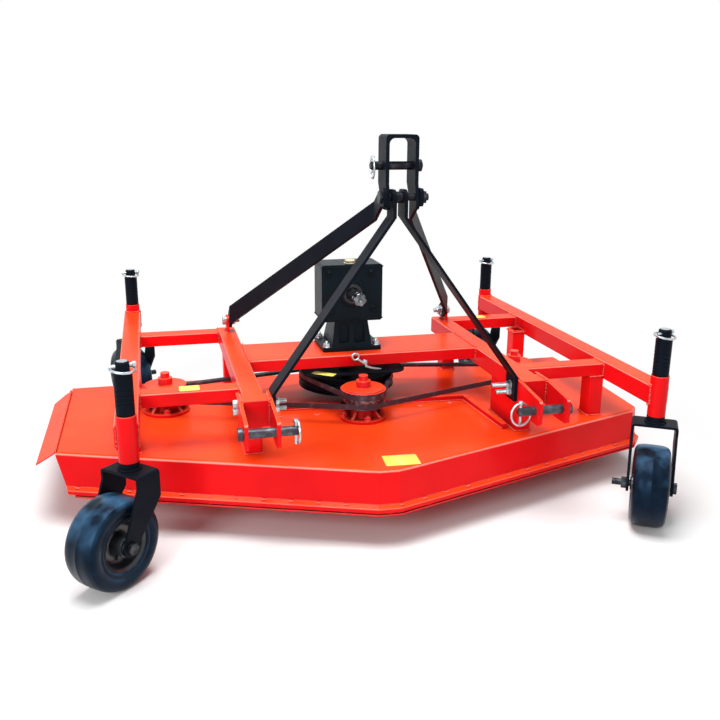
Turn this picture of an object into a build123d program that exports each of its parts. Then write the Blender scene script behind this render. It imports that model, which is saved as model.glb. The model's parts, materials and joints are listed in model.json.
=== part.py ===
from math import acos, atan2, cos, hypot, pi, sin, tan
import os
from build123d import *

os.makedirs("parts", exist_ok=True)

# Sizes run from the hitch centre line (x), the front caster posts (y) and a level 300 mm
# under the lower link pins (z). The origin values move the finished pieces to the middle of
# the machine's box, standing on the ground.
origin_x = -43.0
origin_y = 554.442

# Plates, tubes and running fits
plate_t = 8.0
beam_wide = 50.0
beam_wall = 4.0
beam_corner = 5.0
pivot_play = 0.05
swing_play = 0.5
tool_past = 1.0

# Hitch: two clevises with ears on both sides of each link pin
hitch_half = 341.5
hitch_z = 300.0
hitch_pin_y = 11.0
hitch_pin_r = 11.0
hitch_pin_in = 82.0
hitch_pin_out = 52.0
collar_t = 10.0
collar_rise = 4.0
pin_chamfer = 3.0
ear_reach = 35.0
ear_front_y = -15.0
ear_drop = 32.0
ear_flat = 60.0
ear_rise = 30.0
ear_corner = 10.0
ear_toe_run = 50.0
ear_top_run = 70.0
ear_start_run = 10.0
ear_plate_drop = 13.0

# Frame of square tubes on posts, with a caster tube at each corner
caster_half = 621.0
rear_post_y = 1101.0
beam_offset = 2.0
beam_low = 295.0
beam_high = 345.0
beam_end_solid = 30.0
tube_outer_r = 21.5
tube_low = 267.0
tube_high = 369.0
stem_r = 15.0
cross_low = 305.0
front_cross_y = 240.0
rear_cross_y = 800.0
inner_front_y = 96.0
inner_offset = 1.0
post_wide = 40.0
post_deep = 50.0
front_post_y = 240.0
rear_post_foot_y = 732.0
outer_post_x = {"left": -622.0, "right": 581.0}
inner_post_front = 150.0
inner_post_back = 320.0
lug_y = 762.0
lug_to_beam_end = 50.0
lug_z = 378.0
lug_half_low = 26.0
lug_half_high = 16.0

# Gearbox bridge: a channel open downwards
bridge_front_y = 425.0
bridge_back_y = 600.0
bridge_low = 313.0
bridge_t = 6.0
bridge_hole_r = 26.0

# Deck: the plan of its top sheet, counter-clockwise from the discharge side's front corner
deck_plan = [
    (-800, 265), (-83, -12), (-34, -15), (706, 228), (732, 258), (743, 470), (743, 775), (-800, 775),
]
deck_top = 195.0
deck_t = 4.0
deck_bend = 8.0
wall_low = 97.0
wall_flare = 6.0
lip_out = 10.0
lip_edge = 106.0
lip_top = 113.0
lip_start = 1.0
strip_low = 88.5
strip_t = 3.5
strip_inset = 2.0
strip_web_inset = 7.0
strip_end_x = -760.0
mouth_front_y = 280.0
mouth_back_y = 742.0
mouth_slant = 30.0
deflector_out = 45.0
deflector_drop = 26.0
deflector_corner = 30.0
deflector_overlap = 12.0
rib_tall = 14.0
rib_t = 12.0
rib_line = [(-235, 446), (286, 420), (302, 172)]

# Mast
mast_y = 130.0
mast_z = 789.0
mast_bolt_r = 8.0
mast_nut_half = 13.0
mast_nut_t = 10.0
mast_head_t = 6.0
link_y = 156.0
link_pin_rise = 68.0
link_pin_r = 9.5
link_pin_left = 66.0
link_pin_right = 56.0
link_half = 38.0
link_t = 8.0
link_deep = 65.0
link_rise = 136.0
link_drop = 27.0
link_foot_half = 24.0
link_shoulder = 30.0
link_corner = 9.0
link_inner_corner = 13.0
strap_t = 8.0
strap_wide = 54.0
strap_mid_x = -8.0
strap_gap = 18.0
strap_foot_y = 137.0
strap_foot_low = 290.0
strap_foot_high = 352.0
strap_bend_drop = 43.0
strap_head_rise = 18.0
brace_t = 8.0
brace_wide = 40.0
brace_head_run = 62.0
brace_foot_run = 38.0
brace_end = 22.0

# Drive: gearbox on a pedestal, input shaft to the front, big pulley under the bridge
drive_x = -30.0
drive_y = 540.0
shaft_r = 17.45
shaft_inner_r = 15.0
shaft_z = 504.0
shaft_end_y = 378.0
shaft_inner_long = 56.0
box_front_y = 467.0
box_back_y = 567.0
box_low = 428.0
box_high = 583.0
box_half = 84.0
box_corner = 7.0
bearing_r = 32.0
bearing_t = 8.0
bearing_gap = 3.0
waist_half = 45.0
waist_front = 12.0
waist_back = 8.0
pedestal_half = 56.0
base_half = 82.0
base_front = 6.0
base_back = 4.0
base_t = 12.0
pocket_deep = 7.0
pocket_rib = 7.0
pocket_edge = 9.0
plug_r = 14.0
plug_t = 6.0
plug_y = 30.0

# Belts and pulleys: trapezoid belts in grooves whose sides lean as theirs
belt_thick = 9.0
belt_root_half = 4.0
belt_lean = 0.3
groove_deep = 10.0
groove_play = 0.3
pulley_wall = 3.0
upper_belt_z = 266.0
lower_belt_z = 243.0
drive_pulley_r = 135.0
spindle_pulley_r = 60.0
cap_r = 55.0
hub_nut_r = 19.0
hub_nut_tall = 18.0
spindle_end_r = 12.0
spindle_end_tall = 14.0

# Spindles and blades
centre_y = 340.0
side_reach = 505.0
side_y = 510.0
spindle_r = 15.0
housing_r = 34.0
housing_draft = 5.0
housing_top = 228.0
housing_low = 132.0
housing_play = 1.0
flange_r = 61.0
flange_t = 8.0
web_half = 4.0
web_inset = 6.0
blade_half = 250.0
blade_wide = 62.0
blade_t = 6.0
blade_z = 106.0
blade_edge = 14.0
lift_from = 150.0
lift_tall = 20.0
lift_out = 7.0
blade_boss_r = 30.0
blade_boss_t = 8.0
blade_bolt_half = 13.0
blade_bolt_t = 12.0
# node ending: x, y, height of the cap, turn of the blade in degrees
spindles = {
    "centre": (drive_x, centre_y, 4.0, 20.0),
    "left": (drive_x - side_reach, side_y, 18.0, 62.0),
    "right": (drive_x + side_reach, side_y, 18.0, 118.0),
}

# Belt guard under the bridge
guard_half = 142.0
guard_front_y = 405.0
guard_back_y = 585.0
guard_corner = 40.0
guard_z = 292.0
guard_t = 4.0
guard_tab_wide = 6.0
guard_tab_deep = 24.0
guard_tab_inset = 15.0

# Casters
trail = 60.0
axle_z = 106.5
axle_r = 8.0
axle_head_half = 12.0
axle_head_t = 8.0
axle_nut_t = 12.0
axle_thread = 34.0
tyre_r = 100.0
tyre_half = 41.5
tread_half = 31.0
shoulder_r = 87.0
rim_r = 56.0
rim_half = 35.0
rim_lip = 5.0
rim_web_half = 8.0
rim_web_r = 44.0
rim_hub_r = 22.0
rim_hub_half = 45.0
fork_half = 54.0
fork_t = 6.0
fork_deep = 62.0
fork_top = 250.0
fork_bend = 8.0
fork_lean_from = 224.0
fork_back_from = 190.0
fork_foot_r = 20.0
fork_foot_round = 19.0
neck_r = 21.5
neck_gap = 1.0
spacer_r = 19.5
spacer_high = 460.0
stem_high = 484.0
stem_bevel = 3.0
# node ending: side, y of the post, direction of the trail in degrees
casters = {
    "front_left": (-1, 0.0, -135.0),
    "front_right": (1, 0.0, -122.0),
    "rear_left": (-1, rear_post_y, 112.0),
    "rear_right": (1, rear_post_y, 90.0),
}

origin_z = axle_z - tyre_r
link_z = mast_z + link_pin_rise
inner_back_y = lug_y + lug_to_beam_end
sides = (("left", -1), ("right", 1))
far = 1200.0


def outline(points, lift):
    """A closed wire through the points; a third number on a point rounds that corner."""
    count = len(points)
    corners = []
    for i, point in enumerate(points):
        here = Vector(*point[:2])
        if len(point) == 2:
            corners.append([here])
            continue
        back = (Vector(*points[i - 1][:2]) - here).normalized()
        ahead = (Vector(*points[(i + 1) % count][:2]) - here).normalized()
        half_angle = acos(back.dot(ahead)) / 2
        reach = point[2] / tan(half_angle)
        middle = here + (back + ahead).normalized() * (point[2] / sin(half_angle) - point[2])
        corners.append([here + back * reach, middle, here + ahead * reach])
    edges = []
    for i, corner in enumerate(corners):
        spots = [lift(p.X, p.Y) for p in corner]
        after = corners[(i + 1) % count][0]
        if len(spots) == 3:
            edges.append(Edge.make_three_point_arc(*spots))
        edges.append(Edge.make_line(spots[-1], lift(after.X, after.Y)))
    return Wire(edges)


def prism_x(points, low, high):
    """Outline of (y, z) points pushed along x."""
    wire = outline(points, lambda y, z: Vector(low, y, z))
    return Solid.extrude(Face(wire), Vector(high - low, 0, 0))


def prism_y(points, low, high):
    """Outline of (x, z) points pushed along y."""
    wire = outline(points, lambda x, z: Vector(x, low, z))
    return Solid.extrude(Face(wire), Vector(0, high - low, 0))


def prism_z(points, low, high):
    """Outline of (x, y) points pushed along z."""
    wire = outline(points, lambda x, y: Vector(x, y, low))
    return Solid.extrude(Face(wire), Vector(0, 0, high - low))


def turned_x(profile, y, z):
    """Section of (x, radius) points turned about a line along x."""
    face = Face(outline(profile, lambda x, r: Vector(x, 0, r)))
    return Pos(0, y, z) * Solid.revolve(face, 360, Axis.X)


def turned_z(profile, x, y):
    """Section of (radius, z) points turned about an upright line."""
    face = Face(outline(profile, lambda r, z: Vector(r, 0, z)))
    return Pos(x, y, 0) * Solid.revolve(face, 360, Axis.Z)


def rod_x(low, high, y, z, r):
    return Pos((low + high) / 2, y, z) * Rot(0, 90, 0) * Cylinder(r, high - low)


def rod_y(x, low, high, z, r):
    return Pos(x, (low + high) / 2, z) * Rot(90, 0, 0) * Cylinder(r, high - low)


def rod_z(x, y, low, high, r):
    return Pos(x, y, (low + high) / 2) * Cylinder(r, high - low)


def pin_x(low, high, y, z, r):
    """Rod along x with bevelled ends."""
    cut = pin_chamfer
    section = [(low, 0), (low, r - cut), (low + cut, r), (high - cut, r), (high, r - cut), (high, 0)]
    return turned_x(section, y, z)


def hexagon(u, v, half):
    """Corners of a nut whose flats lie half from its middle."""
    reach = half / cos(pi / 6)
    return [(u + reach * cos(k * pi / 3), v + reach * sin(k * pi / 3)) for k in range(6)]


def rectangle(u0, u1, v0, v1, corner=0):
    points = [(u0, v0), (u1, v0), (u1, v1), (u0, v1)]
    return [(*p, corner) for p in points] if corner else points


def tube(prism, u, v0, v1, low, high):
    """Square tube: outer outline less the same outline one wall further in."""
    half = beam_wide / 2
    wall = beam_wall
    outer = prism(rectangle(u - half, u + half, v0, v1, beam_corner), low, high)
    inner = rectangle(u - half + wall, u + half - wall, v0 + wall, v1 - wall)
    return outer - prism(inner, low - tool_past, high + tool_past)


def post(x, front, back, high):
    """Post of rectangular tube, open below and above, from the deck up."""
    half = post_wide / 2
    inside = half - beam_wall
    outer = prism_z(rectangle(x - half, x + half, front, back, beam_corner), deck_top, high)
    hole = rectangle(x - inside, x + inside, front + beam_wall, back - beam_wall)
    return outer - prism_z(hole, deck_top - tool_past, high + tool_past)


def grow(points, out):
    """Move every side of a counter-clockwise outline outwards."""
    result = []
    for i, here in enumerate(points):
        before = points[i - 1]
        after = points[(i + 1) % len(points)]
        long_in = hypot(here[0] - before[0], here[1] - before[1])
        long_out = hypot(after[0] - here[0], after[1] - here[1])
        nx1, ny1 = (here[1] - before[1]) / long_in, (before[0] - here[0]) / long_in
        nx2, ny2 = (after[1] - here[1]) / long_out, (here[0] - after[0]) / long_out
        scale = out / (1 + nx1 * nx2 + ny1 * ny2)
        result.append((here[0] + (nx1 + nx2) * scale, here[1] + (ny1 + ny2) * scale))
    return result


def frustum(low_points, low, high_points, high):
    lower = outline(low_points, lambda x, y: Vector(x, y, low))
    upper = outline(high_points, lambda x, y: Vector(x, y, high))
    return Solid.make_loft([lower, upper], ruled=True)


def bent_top(body, z, radius):
    """Round the edges that lie at height z."""
    rim = [edge for edge in body.edges() if abs(edge.center().Z - z) < 0.01]
    return fillet(rim, radius)


def put(name, piece):
    """Write one solid, moved to the machine's own origin."""
    found = piece.solids()
    if len(found) != 1:
        raise ValueError(f"{name}: {len(found)} solids")
    solid = found[0].moved(Location((-origin_x, -origin_y, -origin_z)))
    solid.label = name
    export_step(solid, f"parts/{name}.step")


# Deck shell: a top sheet bent down into flared walls, with a rolled lip round their foot
foot_plan = grow(deck_plan, wall_flare)
foot_inner = grow(foot_plan, -deck_t)
shell = bent_top(frustum(foot_plan, wall_low, deck_plan, deck_top), deck_top, deck_bend)
hollow = frustum(foot_inner, wall_low, grow(deck_plan, -deck_t), deck_top - deck_t)
shell -= bent_top(hollow, deck_top - deck_t, deck_bend - deck_t)
lip_plan = grow(foot_plan, lip_out)
lip = prism_z(lip_plan, wall_low, lip_edge) + frustum(lip_plan, lip_edge, grow(foot_plan, lip_start), lip_top)
shell += lip - prism_z(grow(foot_plan, -deck_t / 2), wall_low - tool_past, lip_top + tool_past)
mouth_x = deck_plan[0][0]
mouth = [
    (mouth_x - 2 * lip_out, deck_top + deck_t), (mouth_x, deck_top + deck_t), (mouth_x, deck_top - deck_t),
    (mouth_x + mouth_slant, wall_low - 2 * lip_out), (mouth_x - 2 * lip_out, wall_low - 2 * lip_out),
]
shell -= prism_y(mouth, -far, mouth_back_y)
for x, y, cap, turn in spindles.values():
    shell -= rod_z(x, y, deck_top - flange_t, deck_top + flange_t, housing_r + housing_play)
put("deck_shell", shell)

# Wear strip under the lip: a set-back web on a foot that reaches out again
web_plan = grow(foot_plan, lip_out - strip_web_inset)
strip = prism_z(web_plan, strip_low, wall_low)
strip += prism_z(grow(foot_plan, lip_out - strip_inset), strip_low, strip_low + strip_t)
strip -= prism_z(grow(web_plan, -strip_t), strip_low - tool_past, wall_low + tool_past)
strip -= prism_z(rectangle(-far, strip_end_x, -far, far), strip_low - tool_past, wall_low + tool_past)
put("deck_edge_strip", strip)

# Bent flat bar standing on the deck
start, bend, finish = rib_line
half = rib_t / 2
put("deck_rib", prism_z([
    (start[0], start[1] - half), (bend[0] - half, bend[1] - half), (finish[0] - half, finish[1]),
    (finish[0] + half, finish[1]), (bend[0] + half, bend[1] + half), (start[0], start[1] + half),
], deck_top, deck_top + rib_tall))

sheet = prism_y([
    (mouth_x, deck_top), (mouth_x - deflector_out, deck_top - deflector_drop),
    (mouth_x - deflector_out, deck_top - deflector_drop - deck_t), (mouth_x, deck_top - deck_t),
], mouth_front_y - deflector_overlap, mouth_back_y)
corner = [
    (mouth_x - deflector_out, mouth_back_y - deflector_corner), (mouth_x - deflector_out, mouth_back_y),
    (mouth_x - deflector_out + deflector_corner, mouth_back_y),
]
put("discharge_deflector", sheet - prism_z(corner, wall_low, deck_top))

# Frame weldments
half = beam_wide / 2
inner_beam_x = hitch_half + inner_offset
for side, s in sides:
    # Outer beam between two caster tubes, with the cross tubes and their posts
    outer_x = s * (caster_half + beam_offset)
    weldment = prism_y(rectangle(outer_x - half, outer_x + half, beam_low, beam_high, beam_corner),
                       0, rear_post_y)
    weldment -= prism_y(rectangle(outer_x - half + beam_wall, outer_x + half - beam_wall,
                                  beam_low + beam_wall, beam_high - beam_wall),
                        beam_end_solid, rear_post_y - beam_end_solid)
    for y in (0, rear_post_y):
        weldment += rod_z(s * caster_half, y, tube_low, tube_high, tube_outer_r)
    for y in (front_cross_y, rear_cross_y):
        ends = sorted((s * inner_beam_x + s * half, outer_x - s * half))
        cross = rectangle(y - half, y + half, cross_low, beam_high - beam_corner, beam_corner)
        weldment += prism_x(cross, *ends)
    for y in (front_post_y, rear_post_foot_y):
        weldment += post(outer_post_x[side], y - post_deep / 2, y + post_deep / 2, cross_low + beam_corner)
    for y in (0, rear_post_y):
        weldment -= rod_z(s * caster_half, y, tube_low - tool_past, tube_high + tool_past,
                          stem_r + pivot_play)
    put(f"side_frame_{side}", weldment)

    # Inner beam with the clevis ears, two posts and the lug of the rear brace
    x = s * inner_beam_x
    beam = tube(prism_y, x, beam_low, beam_high, inner_front_y, inner_back_y)
    for reach in (-ear_reach, ear_reach):
        ear = [
            (ear_front_y, hitch_z - ear_drop, ear_corner), (ear_front_y + ear_flat, hitch_z - ear_drop),
            (inner_front_y + ear_toe_run, beam_low), (inner_front_y + ear_top_run, beam_high),
            (inner_front_y + ear_start_run, beam_high), (ear_front_y, hitch_z + ear_rise, ear_corner),
        ]
        ear_x = s * hitch_half + reach
        beam += prism_x(ear, ear_x - plate_t / 2, ear_x + plate_t / 2)
    tie = [s * hitch_half - ear_reach, s * hitch_half + ear_reach]
    front_plate = rectangle(*tie, inner_front_y, inner_front_y + plate_t)
    beam += prism_z(front_plate, beam_low - ear_plate_drop, beam_high)
    top_sheet = rectangle(*tie, inner_front_y, inner_front_y + ear_toe_run)
    beam += prism_z(top_sheet, beam_high - beam_wall, beam_high)
    beam -= rod_x(s * hitch_half - 2 * ear_reach, s * hitch_half + 2 * ear_reach,
                  hitch_pin_y, hitch_z, hitch_pin_r)
    beam += post(x, inner_post_front, inner_post_back, beam_low + beam_corner)
    beam += post(x, rear_post_foot_y - post_deep / 2, rear_post_foot_y + post_deep / 2,
                 beam_low + beam_corner)
    lug = [
        (lug_y - lug_half_low, beam_high - beam_wall), (lug_y + lug_half_low, beam_high - beam_wall),
        (lug_y + lug_half_high, lug_z + lug_half_high, ear_corner),
        (lug_y - lug_half_high, lug_z + lug_half_high, ear_corner),
    ]
    beam += prism_x(lug, x - plate_t / 2, x + plate_t / 2)
    beam -= rod_x(x - plate_t, x + plate_t, lug_y, lug_z, mast_bolt_r)
    put(f"inner_beam_{side}", beam)

    low, high = sorted((s * (hitch_half - hitch_pin_in), s * (hitch_half + hitch_pin_out)))
    pin = pin_x(low, high, hitch_pin_y, hitch_z, hitch_pin_r)
    low, high = sorted((s * (hitch_half + hitch_pin_out - collar_t), s * (hitch_half + hitch_pin_out)))
    put(f"hitch_pin_{side}", pin + rod_x(low, high, hitch_pin_y, hitch_z, hitch_pin_r + collar_rise))

bridge_half = inner_beam_x - half
channel = [
    (bridge_front_y, bridge_low),
    (bridge_front_y, beam_high, beam_corner), (bridge_back_y, beam_high, beam_corner),
    (bridge_back_y, bridge_low), (bridge_back_y - bridge_t, bridge_low),
    (bridge_back_y - bridge_t, beam_high - bridge_t),
    (bridge_front_y + bridge_t, beam_high - bridge_t), (bridge_front_y + bridge_t, bridge_low),
]
bridge = prism_x(channel, -bridge_half, bridge_half)
bridge -= rod_z(drive_x, drive_y, bridge_low, beam_high + tool_past, bridge_hole_r)
put("gearbox_bridge", bridge)

# Mast straps and braces: each is a bent flat bar, the overlap of its two outlines
for side, s in sides:
    foot_x = s * (hitch_half - ear_reach - plate_t / 2)
    head_x = strap_mid_x + s * strap_gap / 2
    foot_in = foot_x - s * strap_t
    head_out = head_x + s * strap_t
    bend_z = mast_z - strap_bend_drop
    top_z = mast_z + strap_head_rise
    front = [
        (foot_x, strap_foot_low), (foot_x, strap_foot_high), (head_out, bend_z), (head_out, top_z),
        (head_x, top_z), (head_x, bend_z), (foot_in, strap_foot_high), (foot_in, strap_foot_low),
    ]
    half = strap_wide / 2
    lean = [
        (strap_foot_y - half, strap_foot_low), (strap_foot_y + half, strap_foot_low),
        (strap_foot_y + half, strap_foot_high), (mast_y + half, bend_z), (mast_y + half, top_z, strap_gap),
        (mast_y - half, top_z, strap_gap), (mast_y - half, bend_z), (strap_foot_y - half, strap_foot_high),
    ]
    strap = prism_y(front, -far, far) & prism_x(lean, -far, far)
    strap -= rod_x(-far, far, mast_y, mast_z, mast_bolt_r)
    put(f"front_strap_{side}", strap)

    head_x = s * (link_half + swing_play)
    foot_x = s * (inner_beam_x - plate_t / 2)
    head_out = head_x + s * brace_t
    foot_in = foot_x - s * brace_t
    plan = [
        (foot_x, lug_y + brace_end), (foot_x, lug_y - brace_foot_run), (head_out, mast_y + brace_head_run),
        (head_out, mast_y - brace_end), (head_x, mast_y - brace_end), (head_x, mast_y + brace_head_run),
        (foot_in, lug_y - brace_foot_run), (foot_in, lug_y + brace_end),
    ]
    half = brace_wide / 2
    slope = [
        (mast_y - brace_end, mast_z - half, half / 2), (mast_y - brace_end, mast_z + half, half / 2),
        (mast_y + half / 2, mast_z + half), (lug_y + half / 2, lug_z + half),
        (lug_y + brace_end, lug_z + half / 2, half / 2), (lug_y + brace_end, lug_z - half, half / 2),
        (lug_y - half / 2, lug_z - half), (mast_y + half / 4, mast_z - half),
    ]
    brace = prism_z(plan, 0, far) & prism_x(slope, -far, far)
    brace -= rod_x(-far, far, mast_y, mast_z, mast_bolt_r)
    brace -= rod_x(-far, far, lug_y, lug_z, mast_bolt_r)
    put(f"rear_brace_{side}", brace)

# Top link bracket: an upturned strap that tapers to its lower ends
link_low = mast_z - link_drop
link_top = mast_z + link_rise
inside = link_half - link_t
arch = [
    (-link_half, link_low), (-link_half, link_top, link_corner), (link_half, link_top, link_corner),
    (link_half, link_low), (inside, link_low), (inside, link_top - link_t, link_inner_corner),
    (-inside, link_top - link_t, link_inner_corner), (-inside, link_low),
]
half = link_deep / 2
cheek = [
    (mast_y - link_foot_half, link_low, link_foot_half / 2),
    (mast_y + link_foot_half, link_low, link_foot_half / 2),
    (link_y + half, mast_z + link_shoulder), (link_y + half, link_top), (link_y - half, link_top),
    (link_y - half, mast_z + link_shoulder),
]
bracket = prism_y(arch, -far, far) & prism_x(cheek, -far, far)
bracket -= rod_x(-far, far, mast_y, mast_z, mast_bolt_r + pivot_play)
bracket -= rod_x(-far, far, link_y, link_z, link_pin_r)
put("top_link_bracket", bracket)

pin = pin_x(-link_pin_left, link_pin_right, link_y, link_z, link_pin_r)
put("top_link_pin", pin + rod_x(link_pin_right - pin_chamfer - collar_t, link_pin_right - pin_chamfer,
                                link_y, link_z, link_pin_r + collar_rise))

reach = link_half + swing_play + brace_t
bolt = rod_x(-reach - mast_head_t, reach + mast_nut_t + mast_head_t, mast_y, mast_z, mast_bolt_r)
bolt += prism_x(hexagon(mast_y, mast_z, mast_nut_half), reach, reach + mast_nut_t)
bolt += prism_x(hexagon(mast_y, mast_z, mast_nut_half), -reach - mast_head_t, -reach)
bolt += rod_x(strap_mid_x - strap_gap / 2, strap_mid_x + strap_gap / 2, mast_y, mast_z, mast_nut_half)
put("mast_bolt", bolt)

# Gearbox: body, bearing boss, and a pedestal with a rib between two pockets on its front
gear = prism_y(rectangle(drive_x - box_half, drive_x + box_half, box_low, box_high, box_corner),
               box_front_y, box_back_y)
waist = rectangle(drive_x - waist_half, drive_x + waist_half,
                  box_front_y + waist_front, box_back_y - waist_back)
base_y0 = box_front_y - base_front
base_y1 = bridge_back_y - base_back
foot = rectangle(drive_x - pedestal_half, drive_x + pedestal_half, base_y0 + base_front, base_y1 - base_front)
gear += frustum(foot, beam_high + base_t, waist, box_low + box_corner)
gear += prism_z(rectangle(drive_x - base_half, drive_x + base_half, base_y0, base_y1, box_corner),
                beam_high, beam_high + base_t)
for s in (-1, 1):
    near, away = sorted((drive_x + s * pocket_rib, drive_x + s * (waist_half - pocket_edge)))
    pocket = rectangle(near, away, beam_high + base_t + pocket_edge, box_low - pocket_edge, pocket_rib)
    gear -= prism_y(pocket, base_y0, box_front_y + waist_front / 2 + pocket_deep)
gear += rod_y(drive_x, box_front_y - bearing_t, box_front_y + tool_past, shaft_z, bearing_r)
gear += rod_z(drive_x, box_front_y + plug_y, box_high - tool_past, box_high + plug_t, plug_r)
gear -= rod_y(drive_x, box_front_y - 2 * bearing_t, box_front_y - bearing_t + shaft_inner_long, shaft_z,
              shaft_inner_r + pivot_play)
gear -= rod_z(drive_x, drive_y, beam_high - tool_past, box_low - pocket_edge, shaft_r + pivot_play)
put("gearbox_housing", gear)

shoulder_y = box_front_y - bearing_t - bearing_gap
stub = rod_y(drive_x, shaft_end_y, shoulder_y, shaft_z, shaft_r)
shaft_back_y = box_front_y - bearing_t + shaft_inner_long - tool_past
put("input_shaft", stub + rod_y(drive_x, shoulder_y - tool_past, shaft_back_y, shaft_z, shaft_inner_r))


def grooved(r, belts):
    """Rim of a pulley from below to above, with a groove at each belt height."""
    root = belt_root_half + groove_play
    mouth_half = root + groove_deep * belt_lean
    low = min(belts) - mouth_half - pulley_wall
    high = max(belts) + mouth_half + pulley_wall
    points = [(r, low)]
    for z in sorted(belts):
        points += [(r, z - mouth_half), (r - groove_deep, z - root),
                   (r - groove_deep, z + root), (r, z + mouth_half)]
    return points + [(r, high)], low, high


def belt_path(stops):
    """Pitch line around pulleys that all lie on its inner side, in counter-clockwise order."""
    runs = []
    count = len(stops)
    for i in range(count):
        ax, ay, ar = stops[i]
        bx, by, br = stops[(i + 1) % count]
        turn = atan2(by - ay, bx - ax) - acos((ar - br) / hypot(bx - ax, by - ay))
        runs.append((ax + ar * cos(turn), ay + ar * sin(turn),
                     bx + br * cos(turn), by + br * sin(turn), turn))
    edges = []
    for i in range(count):
        x0, y0, x1, y1, turn = runs[i]
        after = runs[(i + 1) % count]
        x, y, r = stops[(i + 1) % count]
        middle = turn + ((after[4] - turn) % (2 * pi)) / 2
        edges.append(Edge.make_line(Vector(x0, y0), Vector(x1, y1)))
        edges.append(Edge.make_three_point_arc(
            Vector(x1, y1), Vector(x + r * cos(middle), y + r * sin(middle)), Vector(after[0], after[1])))
    return Wire(edges), runs[0]


def belt(stops, z):
    """Trapezoid section swept round the pulleys, its narrow side on the groove floors."""
    path, run = belt_path(stops)
    x0, y0, x1, y1, turn = run
    start = Vector((x0 + x1) / 2, (y0 + y1) / 2, z)
    out = Vector(cos(turn), sin(turn), 0)
    up = Vector(0, 0, 1)
    wide = belt_root_half + belt_thick * belt_lean
    section = Wire.make_polygon([
        start - up * belt_root_half, start + out * belt_thick - up * wide,
        start + out * belt_thick + up * wide, start + up * belt_root_half,
    ], close=True)
    half_run = Edge.make_line(start, Vector(x1, y1, z))
    first_half = Edge.make_line(Vector(x0, y0, z), start)
    others = [edge.moved(Location((0, 0, z))) for edge in path.edges()[1:]]
    return Solid.sweep(Face(section), path=Wire([half_run] + others + [first_half]))


drive_rim, drive_low, drive_high = grooved(drive_pulley_r, [lower_belt_z, upper_belt_z])
drive_wheel = [(0, drive_low)] + drive_rim + [(shaft_r, drive_high), (shaft_r, box_low - 2 * pocket_edge),
                                              (0, box_low - 2 * pocket_edge)]
put("drive_pulley", turned_z(drive_wheel, drive_x, drive_y))

for name, (x, y, cap_t, turn) in spindles.items():
    # Spindle, grooved pulley, cap and nut turned as one section
    heights = [lower_belt_z, upper_belt_z] if name == "centre" else [lower_belt_z]
    rim, low, high = grooved(spindle_pulley_r, heights)
    cap_high = high + cap_t
    nut_high = cap_high + hub_nut_tall
    top = nut_high + spindle_end_tall
    shaft_foot = blade_z + blade_t + blade_boss_t
    wheel = [(0, shaft_foot), (spindle_r, shaft_foot), (spindle_r, low)] + rim + [
        (cap_r, high), (cap_r, cap_high), (hub_nut_r, cap_high), (hub_nut_r, nut_high),
        (spindle_end_r, nut_high), (spindle_end_r, top), (0, top)]
    put(f"spindle_pulley_{name}", turned_z(wheel, x, y))

    # Housing: a drafted tower on a round flange, held by four webs
    bore = spindle_r + pivot_play
    tower = [
        (bore, housing_low), (housing_r, housing_low), (housing_r, deck_top), (flange_r, deck_top),
        (flange_r, deck_top + flange_t), (housing_r, deck_top + flange_t),
        (housing_r - housing_draft, housing_top),
        (bore, housing_top),
    ]
    house = turned_z(tower, x, y)
    inside = housing_r - housing_draft - tool_past
    web = prism_x([
        (inside, deck_top + web_inset), (flange_r - web_inset, deck_top + web_inset),
        (flange_r - web_inset, deck_top + flange_t), (housing_r, housing_top - web_inset),
        (inside, housing_top - web_inset),
    ], -web_half, web_half)
    for k in range(4):
        house += Pos(x, y, 0) * Rot(0, 0, 45 + 90 * k) * web
    put(f"spindle_housing_{name}", house)

    # Blade: a bar with sharpened front edges and lifted rear edges towards its two tips
    wide = blade_wide / 2
    above = blade_z + blade_t
    bar = prism_z(rectangle(-blade_half, blade_half, -wide, wide), blade_z, above)
    for s in (-1, 1):
        tip = sorted((-s * blade_half, -s * lift_from))
        edge = [(-s * wide, blade_z + tool_past), (-s * wide, above + tool_past),
                (-s * (wide - blade_edge), above + tool_past), (-s * (wide - blade_edge), above)]
        bar -= prism_x(edge, *tip)
        wing = [(s * (wide - blade_t), blade_z), (s * wide, blade_z),
                (s * (wide + lift_out), above + lift_tall),
                (s * (wide + lift_out - blade_t / 2), above + lift_tall), (s * (wide - blade_t), above)]
        bar += prism_x(wing, *tip)
    bar = bar & rod_z(0, 0, blade_z - tool_past, above + lift_tall + tool_past, blade_half)
    bar += rod_z(0, 0, blade_z, shaft_foot, blade_boss_r)
    bar += prism_z(hexagon(0, 0, blade_bolt_half), blade_z - blade_bolt_t, blade_z)
    put(f"blade_{name}", Pos(x, y, 0) * Rot(0, 0, turn) * bar)

floor_r = spindle_pulley_r - groove_deep + groove_play
drive_floor_r = drive_pulley_r - groove_deep + groove_play
put("drive_belt", belt([(drive_x, centre_y, floor_r), (drive_x, drive_y, drive_floor_r)], upper_belt_z))
side_stops = [(*spindles[name][:2], floor_r) for name in ("left", "centre", "right")]
put("side_belt", belt(side_stops + [(drive_x, drive_y, drive_floor_r)], lower_belt_z))

guard = [
    (drive_x - guard_half, guard_back_y), (drive_x - guard_half, guard_front_y, guard_corner),
    (drive_x + guard_half, guard_front_y, guard_corner), (drive_x + guard_half, guard_back_y),
]
cover = prism_z(guard, guard_z, guard_z + guard_t)
for s in (-1, 1):
    tab_x = drive_x + s * (guard_half - guard_tab_inset)
    tab = rectangle(tab_x - guard_tab_wide / 2, tab_x + guard_tab_wide / 2,
                    guard_back_y - guard_tab_deep, guard_back_y)
    cover += prism_z(tab, guard_z, beam_high - bridge_t)
cover -= rod_z(drive_x, drive_y, guard_z - tool_past, guard_z + guard_t + tool_past, bridge_hole_r)
put("belt_guard", cover)

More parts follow.
